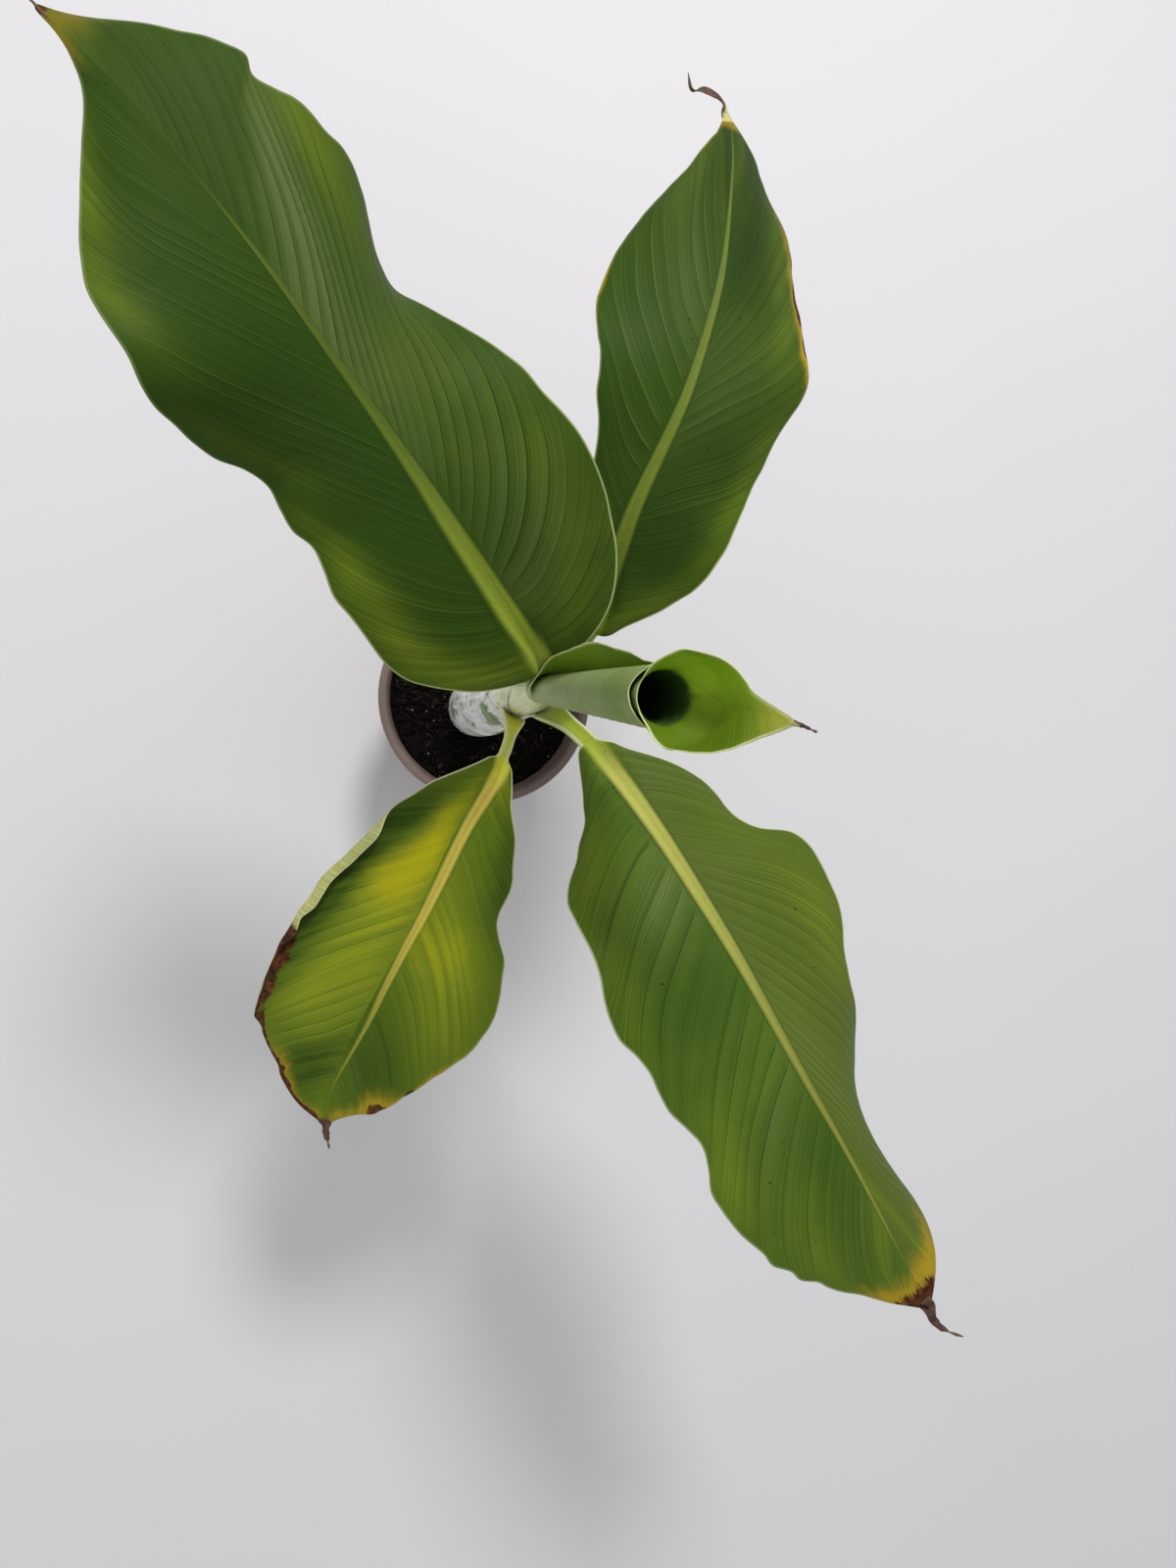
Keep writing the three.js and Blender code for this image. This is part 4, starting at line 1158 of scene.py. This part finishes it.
LEAVES["3"]["left"].update({
    "fold": 0.2, "pleat": (8.5, 11.0), "lines": 0.25,
    "veins": [[71, 89, 125, 179], [111, 127, 171, 264], [143, 184, 250, 343], [207, 257, 307, 386],
        [250, 321, 393, 479], [314, 400, 482, 557], [393, 500, 579, 636], [486, 629, 686, 729],
        [607, 750, 807, 857], [693, 843, 893, 929]],
    "trim": [0, -34, -24, -10, -1, 5, 8, 7, 1, -9, -15, -12, 5, 9, 7, 4, 2, -2, -7, -8, -7, -3, 0, 0, 0,
        0, 0, 0, 0, 0, 0, 0, 0, 0, 0, 0, 0, 0, 0, 0, 0],
})
LEAVES["3"]["right"].update({
    "fold": 0.6, "pleat": (12.0, 15.5), "lines": 0.6,
    "veins": [[100, 104, 123, 164], [146, 156, 193, 264], [218, 246, 293, 350], [243, 286, 330, 407],
        [307, 352, 407, 486], [361, 414, 471, 536], [468, 529, 582, 636], [539, 577, 621, 696],
        [614, 671, 732, 793], [714, 779, 836, 893], [793, 864, 929, 964]],
    "trim": [0, -3, -2, -1, 2, -2, 3, 1, 7, 8, 4, 2, 1, 1, 3, 4, 4, 0, -1, 2, 3, -2, -6, -2, 5, 5, 4, 3,
        2, 3, 8, 5, 10, 5, 9, 10, 5, 7, 10, 6, 2],
})
LEAVES["4"].update({
    "rib_half": [6, 4.3, 3.5, 3.3, 2.9, 2.6, 2.2, 1.6, 1.0, 0.6, 0.4],
    "rib_shift": [2, 4, 4.9, 5.1, 4.4, 3.4, 3.9, 5.2, 4.2, 2.5, 1],
    "hollow": 0.3,
    "lime": [(LEFT, 4, 60, 5, 60, 70), (LEFT, 46, 35, 16, 55, 80), (RIGHT, 45, 35, 28, 42, 100),
        (RIGHT, 65, 65, 6, 30, 60)],
    "yellow": [(RIGHT, 26, 24, 15, 26, 100), (RIGHT, 36, 50, 6, 25, 60), (LEFT, 46, 32, 8, 40, 45),
        (RIGHT, 58, 20, 6, 20, 35), (LEFT, 10, 20, 6, 30, 50)],
    "deep_green_and_shade": [(LEFT, 25, 90, 8, 20, 60), (LEFT, 80, 50, 14, 90, 80), (RIGHT, 84, 45, 9, 70, 100),
        (RIGHT, 54, 98, 16, 22, 100), (RIGHT, 36, 95, 10, 25, 100), (RIGHT, 20, 75, 6, 30, 80)],
    "painted_sheen": [(LEFT, 86, 50, 10, 50, 35)],
    "gold": [(LEFT, 88, 95, 6, 30, 95), (RIGHT, 88, 95, 8, 20, 80), (BOTH, 97, 70, 3, 50, 60),
        (LEFT, 70, 100, 12, 4, 60)],
    "brown": [(LEFT, 88.5, 102, 4, 23, 100), (LEFT, 78, 101, 2, 6, 90), (RIGHT, 89, 104, 8, 20, 100),
        (RIGHT, 58, 106, 10, 12, 100), (RIGHT, 97, 90, 3, 40, 100), (LEFT, 45, 101, 20, 2, 70),
        (RIGHT, 76, 101, 6, 4, 100)],
})
LEAVES["4"]["left"].update({
    "fold": 0.35, "pleat": (10.5, 12.5), "lines": 0.45,
    "veins": [[86, 104, 146, 207], [121, 164, 250, 321], [236, 300, 407, 500], [300, 379, 489, 571],
        [357, 436, 536, 621], [414, 496, 593, 679], [536, 614, 693, 757], [679, 743, 800, 850],
        [807, 857, 900, 936]],
    "trim": [0, 3, 10, 10, 6, 6, 6, 5, 2, 1, 2, 5, 4, -1, -6, -7, -2, 4, 2, 2, 2, 2, 1, 1, 0, -2, -2,
        -1, -1, 0, 1, 1, 1, 4, 5, 4, 9, 10, 7, 2, 0],
})
LEAVES["4"]["right"].update({
    "fold": 0.5, "pleat": (10.5, 12.5), "lines": 0.75,
    "veins": [[107, 143, 179, 214], [200, 250, 296, 336], [286, 349, 414, 471], [357, 420, 486, 543],
        [429, 493, 550, 600], [500, 564, 625, 679], [586, 650, 696, 729], [636, 704, 736, 764],
        [693, 750, 779, 807], [771, 800, 821, 843]],
    "trim": [0, 0, 0, 0, 1, 3, 6, 5, 1, -1, 0, 1, 2, 2, 1, 2, 3, 2, 2, 4, 4, 4, 5, 4, 4, 4, 4, 4, 5, 6,
        8, 9, 8, 5, 2, 9, 10, 10, 10, 5, 1],
    "curls": [(0.3, 0.45, 0.13, 16), (0.53, 0.7, 0.05, 9)], "curl_radius": 4.4,
})
print("marks on", len(LEAVES), "leaves")

# %% Leaves and petioles
ROWS = {"petiole": 70, "blade": 330}
for name, leaf in LEAVES.items():
    finish = leaf_finish("leaf_" + name + "_finish", {**BASE_LOOK, **LOOKS[name]})
    stalk_runs = np.linspace(0, leaf["stalk"], ROWS["petiole"])
    blade_runs = np.linspace(leaf["stalk"], leaf["curve"].length, ROWS["blade"])
    petiole = leaf_piece("petiole_" + name + "_skin", leaf, stalk_runs)
    settle(petiole, "petiole", finish, "petiole_" + name)
    blade = leaf_piece("leaf_" + name + "_blade", leaf, blade_runs)
    settle(blade, "old_leaf" if name == "4" else "leaf", finish, "leaf_" + name)

# %% [markdown]
# The last centimetres of each leaf have dried to a brown thread. A thread is a tube along a
# few points that thins out, and it starts inside the end of the rib.

# %% Dried tips
TIP_FORMS = {
    "1": {"radius": 1.3, "flat": 0.6, "pale": 0, "taper": 0.55},
    "2": {"radius": 5.6, "flat": 0.22, "pale": 0.4, "taper": 0.75},
    "3": {"radius": 6.4, "flat": 0.28, "pale": 0, "taper": 0.5},
    "4": {"radius": 6.5, "flat": 0.3, "pale": 0, "taper": 0.55},
}
THREAD_ROWS, THREAD_SIDES = 90, 16
ROOT_SHARE = 0.985


def thread(name, points, radius, flat, pale, taper=0.55):
    """A shrivelled ribbon along a few points; one side of its first part can still be pale."""
    curve = Curve(points)
    runs = np.linspace(0, curve.length, THREAD_ROWS)
    share = (runs / curve.length)[:, None, None]
    forward = curve.forward(runs)[:, None, :]
    left = np.cross([0, 0, 1], forward)
    left /= np.linalg.norm(left, axis=-1, keepdims=True)
    above = np.cross(forward, left)
    a = np.linspace(0, 2 * math.pi, THREAD_SIDES, endpoint=False)[None, :, None]
    wrinkled = 1 + 0.15 * np.sin(2 * a + share * 16) * share
    wrinkled = wrinkled + 0.18 * np.sin(share * 21) * ease(share, 0.3, 0.6)
    swell = 0.6 + 0.4 * ease(share, 0, 0.15)
    radius = mix(radius, 0.4, share**taper) * wrinkled * swell
    turn = 1.9 * share * (1 + np.sin(share * 8))
    side_way = left * np.cos(turn) + above * np.sin(turn)
    up_way = above * np.cos(turn) - left * np.sin(turn)
    rings = curve.at(runs)[:, None, :] + radius * (side_way * np.cos(a) + up_way * np.sin(a) * flat)
    reach = pale * (1 - 0.9 * ease(np.cos(a), 0.2, 0.9))
    still_pale = (1 - ease(share, reach * 0.75, reach + 0.02)) * (pale > 0)
    return ring_piece(name, rings, {"along_thread": share + 0 * a, "still_pale": still_pale})


dry = Finish("dried_tip")
grain = dry.noise(700, 4, 0.6)
wide_grain = dry.noise(160, 3, 0.6)
dry_colour = dry.layers(
    dry.blend(dry.ramp(wide_grain, 0.4, 0.62), (50, 20, 12), (120, 55, 28)),
    (dry.ramp(dry.mark("along_thread"), 0.55, 0.95, 0.0, 0.5), (130, 80, 40)),
    (dry.mark("still_pale"), (500, 460, 160)),
)
dry_colour = dry.scale(dry_colour, dry.ramp(grain, 0.3, 0.7, 0.7, 1.25))
dry.bump(grain, 0.0005, 0.7)
dry_finish = dry.done(dry_colour, dry.ramp(grain, 0.3, 0.7, 0.62, 0.85))
for name, leaf in LEAVES.items():
    root = leaf["curve"].at(ROOT_SHARE * leaf["curve"].length)
    tip = thread("leaf_" + name + "_dried_tip", [root, *leaf["tip"]], **TIP_FORMS[name])
    settle(tip, "old_leaf" if name == "4" else "leaf", dry_finish)

# %% [markdown]
# The newest leaf is still rolled up, like a paper cone with its mouth cut slantwise. The roll
# is two turns of thin sheet: the inner one runs up to the pointed tip like a spoon, and the
# outer one ends a little lower, so two rims show. One margin of the outer turn stands off as
# a loose flap. The turns use the solid's own rule for the axis, the radius and the rim.

# %% Rolled leaf sizes
ROLL_START, ROLL_RISE = 350, 300
TURN_THICK, FLAP_THICK = 0.55, 0.5
TURN_RADIUS = 18
TURN_ROWS = {"inner": 190, "outer": 150, "flap": 150}
VEIN_SLANT = 1.1
ROLL = {
    "foot": np.array([-4, -6, 350.3]), "mouth": np.array([5, -20.8, 560]),
    "foot_radius": 8.2, "mouth_radius": 14.4, "spoon_radius": 20.7, "flare": 14, "tip_rise": 78,
    "left_rim": [0, 0, 0.02, 0.05, 0.08, 0.1, 0.14, 0.25, 0.39, 0.45, 0.49, 0.58, 1],
    "right_rim": [0, 0.02, 0.04, 0.05, 0.085, 0.155, 0.265, 0.4, 0.49, 0.57, 0.68, 0.84, 1],
    "tip_sway": -5.5, "tip": [[27.5, -31.6, 634], [29, -33, 641], [31, -35, 647]],
}
FLAP = {
    "start": 50, "low": 366, "high": 556, "tucked": 1.2,
    "end": [215, 150, 124, 108, 98, 92, 90, 100],
    "reach": [2, 5, 10.5, 13, 13, 8.5, 3, 0],
}


def roll_share(height):
    """How far up from the roll's foot to its mouth a height is."""
    return (height - ROLL["foot"][2]) / (ROLL["mouth"][2] - ROLL["foot"][2])


def roll_radius(height):
    tight = mix(ROLL["foot_radius"], ROLL["mouth_radius"], np.minimum(roll_share(height), 1))
    flare = ease(height - ROLL["mouth"][2], 0, ROLL["flare"])
    return tight + flare * (ROLL["spoon_radius"] - ROLL["mouth_radius"])


def roll_point(height, azimuth, radius, sway):
    axis = mix(ROLL["foot"], ROLL["mouth"], roll_share(height)[..., None])
    a = np.radians(azimuth)
    return axis + np.stack([radius * np.cos(a), radius * np.sin(a) + sway, height * 0], -1)


def rim_height(azimuth):
    turn = np.abs(1 - np.mod(azimuth, 360) / 180)
    left_side = np.mod(azimuth, 360) < 180
    share = np.where(left_side, along(ROLL["left_rim"], turn), along(ROLL["right_rim"], turn))
    return ROLL["mouth"][2] + ROLL["tip_rise"] * share


def turn_piece(name, height, azimuth, radius, outer, thick, marks, sway=0.0, joined=False):
    """Joins an outer face and the inner one behind it into a thin sheet round the roll's axis.
    Its rows run up. A joined sheet goes all the way round."""
    side = 0 if joined else 1
    azimuth = azimuth + 0 * height

    def both(out, back):
        return np.concatenate([out, np.flip(back, side)], side)

    out = roll_point(height, azimuth, outer, sway)
    rings = both(out, roll_point(height, azimuth, outer - thick, sway))
    marks["vein"] = (height + radius * np.radians(azimuth) * VEIN_SLANT) * MM
    marks["up"] = (height - ROLL_START) / ROLL_RISE
    marks = {key: both(values + 0 * height, values + 0 * height) for key, values in marks.items()}
    marks["inside"] = both(0 * height, 0 * height + 1)
    marks["depth"] = marks["depth"] * marks["inside"]
    return ring_piece(name, rings, marks, closed_ends=not joined)


def ridges(height, phase):
    """Fine ribs that wind slowly round a sheet."""
    return 0.08 * np.sin(height / 2.1 + phase * 9)


def roll_sheet(name, azimuths, low, rim_drop, radius_in, rows, joined):
    """One turn of the roll, from a low height up to its rim."""
    azimuth = np.asarray(azimuths, float)[None, :]
    share = (np.linspace(0, 1, rows) ** 0.85)[:, None]
    top = rim_height(azimuth) - rim_drop(azimuth)
    height = low + (top - low) * share
    over = np.maximum(height - ROLL["mouth"][2], 0) / ROLL["tip_rise"]
    radius = roll_radius(height) - radius_in(height, azimuth)
    thick = TURN_THICK * (1 - 0.4 * ease(share, 0.96, 1))
    slope = np.gradient(top[0], np.radians(azimuth[0])) / TURN_RADIUS
    marks = {
        "rim": np.maximum(top - height, 0) / np.sqrt(1 + slope**2) * MM,
        "spoon": over,
        # painted shade inside the tube below the mouth
        "depth": 1 - ease(height, 557.5, 562),
        # painted light and shade: 0 on the upper side, 1 on the lower side
        "painted_side_shading": (1 - np.sin(np.radians(azimuth))) / 2,
    }
    outer = radius + ridges(height, np.radians(azimuth))
    sway = ROLL["tip_sway"] * over**2
    return turn_piece(name, height, azimuth, radius, outer, thick, marks, sway, joined)


inner_turn = roll_sheet(
    "new_leaf_inner_turn", ALL_ROUND, ROLL["foot"][2] + 0.4,
    lambda a: 0 * a, lambda h, a: 2.4 * (1 - ease(h, 556, 572)), TURN_ROWS["inner"], True,
)


def outer_drop(a):
    """How far the outer turn ends below the inner one's rim."""
    low_side = 80 * ease(a, 255, 345) + 10 * ease(a, 125, 100)
    return 2.0 + 3.0 * bell((a - 180) / 60) + low_side


def outer_inset(h, a):
    """How far the outer turn lies inside the roll's radius. Its free margin tucks under."""
    return 0.1 - 0.8 * ease(h, 552, 566) + 1.6 * ease(a, 310, 345)


outer_turn = roll_sheet(
    "new_leaf_outer_turn", np.linspace(100, 345, 110), ROLL["foot"][2] + 0.2,
    outer_drop, outer_inset, TURN_ROWS["outer"], False,
)
print("rolled leaf rises to", round(float(ROLL["mouth"][2] + ROLL["tip_rise"])), "mm")


# %% Loose flap
def flap_sheet():
    """The margin that stands off: it leaves the roll at a steep line and widens to its edge."""
    u = np.linspace(0, 1, TURN_ROWS["flap"])[:, None]
    v = np.linspace(0, 1, 34)[None, :]
    height = mix(FLAP["low"], FLAP["high"], u) + 0 * v
    end = along(FLAP["end"], u)
    azimuth = mix(FLAP["start"], end, v)
    radius = roll_radius(height) - FLAP["tucked"] + (along(FLAP["reach"], u) + FLAP["tucked"]) * v
    radius = radius + 0.5 * np.sin(height / 8) * v**2 * ease(u, 0.05, 0.2) * ease(1 - u, 0.02, 0.2)
    near_rim = np.radians((1 - v) * (end - FLAP["start"])) * radius * MM
    marks = {"rim": near_rim, "spoon": 0, "depth": 0, "painted_side_shading": 0.5}
    outer = radius + ridges(height, v) + FLAP_THICK / 2
    return turn_piece("new_leaf_flap", height, azimuth, radius, outer, FLAP_THICK, marks)


flap = flap_sheet()
print("flap stands up to", max(FLAP["reach"]), "mm off the roll")

# %% [markdown]
# Outside, the roll shows the leaf's underside: pale grey-green under a wax bloom. Inside it is
# the freshest green of the plant, going yellow near the tip. Painted light and shade make its
# upper side lighter and its lower side darker, and painted shade darkens the tube below the
# mouth. Both faces share one finish that asks each point which side it is on.

# %% Rolled leaf finish
fresh = Finish("fresh_rolled_leaf")
cloud = fresh.noise(30, 4, 0.55)
fine = fresh.line_noise(fresh.mark("vein"), 900, 1.0)
outside = fresh.layers(
    fresh.blend(fresh.ramp(cloud, 0.35, 0.68), (290, 370, 140), (200, 280, 75)),
    (fresh.ramp(fresh.mark("up"), 0.0, 0.75, 0.7, 0.0), (360, 420, 220)),
)
inside = fresh.layers(
    fresh.blend(fresh.ramp(cloud, 0.35, 0.7), (180, 320, 12), (240, 385, 15)),
    (fresh.ramp(fresh.mark("spoon"), 0.4, 0.95), (600, 600, 70)),
)
# painted light and shade: the inside is lighter on its upper side, darker on its lower side
inside = fresh.scale(inside, fresh.ramp(fresh.mark("painted_side_shading"), 0.2, 0.9, 1.3, 0.5))
# painted shade: the inside below the mouth turns dark green
inside = fresh.blend(fresh.mark("depth"), inside, (40, 95, 18))
face = fresh.blend(fresh.mark("inside"), outside, inside)
face = fresh.scale(face, fresh.ramp(fine, 0.3, 0.7, 0.88, 1.12))
face = fresh.blend(fresh.ramp(fresh.mark("rim"), 0.0006, 0.0015, 0.9, 0.0), face, (620, 680, 300))
fresh.bump(fine, 0.0003, 0.5)
fresh_finish = fresh.done(face, fresh.ramp(cloud, 0.3, 0.7, 0.45, 0.55), Specular_IOR_Level=0.12)
settle(inner_turn, "new_leaf", fresh_finish, "new_leaf")
settle(outer_turn, "new_leaf", fresh_finish)
settle(flap, "new_leaf", fresh_finish)
new_tip = thread("new_leaf_tip", ROLL["tip"], radius=1.6, flat=0.6, pale=0.45)
settle(new_tip, "new_leaf", dry_finish)

# %% [markdown]
# The plant stands on a plain pale floor under plain soft light. One wide lamp comes in from
# beyond the large leaves at half height, like a window, and gives the folds their shading.
# An even pale surround fills the shadows.

# %% Floor and light
bpy.ops.mesh.primitive_plane_add(size=6)
floor = bpy.context.object
floor.name = "floor"
pale = Finish("pale_floor")
floor_tone = pale.ramp(pale.noise(1.2, 3), 0.3, 0.7, 0.97, 1.0)
floor.data.materials.append(pale.done(pale.scale((720, 700, 710), floor_tone), 0.85))
LAMP_AZIMUTH, LAMP_HEIGHT = math.radians(90), math.radians(50)
LAMP_AWAY = 2.5
LAMP_AIM = Vector((0, 0, 0.35))
lamp_data = bpy.data.lights.new("window_lamp", "AREA")
lamp_data.shape = "DISK"
lamp_data.size = 0.6
lamp_data.energy = 42
lamp = bpy.data.objects.new("window_lamp", lamp_data)
level = Vector((math.cos(LAMP_AZIMUTH), math.sin(LAMP_AZIMUTH), 0)) * math.cos(LAMP_HEIGHT)
lamp.location = LAMP_AIM + LAMP_AWAY * (level + Vector((0, 0, math.sin(LAMP_HEIGHT))))
lamp.rotation_euler = (LAMP_AIM - lamp.location).to_track_quat("-Z", "Y").to_euler()
bpy.context.scene.collection.objects.link(lamp)
world = bpy.data.worlds.new("studio")
world.use_nodes = True
surround = world.node_tree.nodes["Background"]
surround.inputs["Color"].default_value = (0.96, 0.98, 1.0, 1)
surround.inputs["Strength"].default_value = 0.62
bpy.context.scene.world = world
bpy.context.scene.view_settings.view_transform = "Standard"
print("lamp at", [round(c, 2) for c in lamp.location], "m")
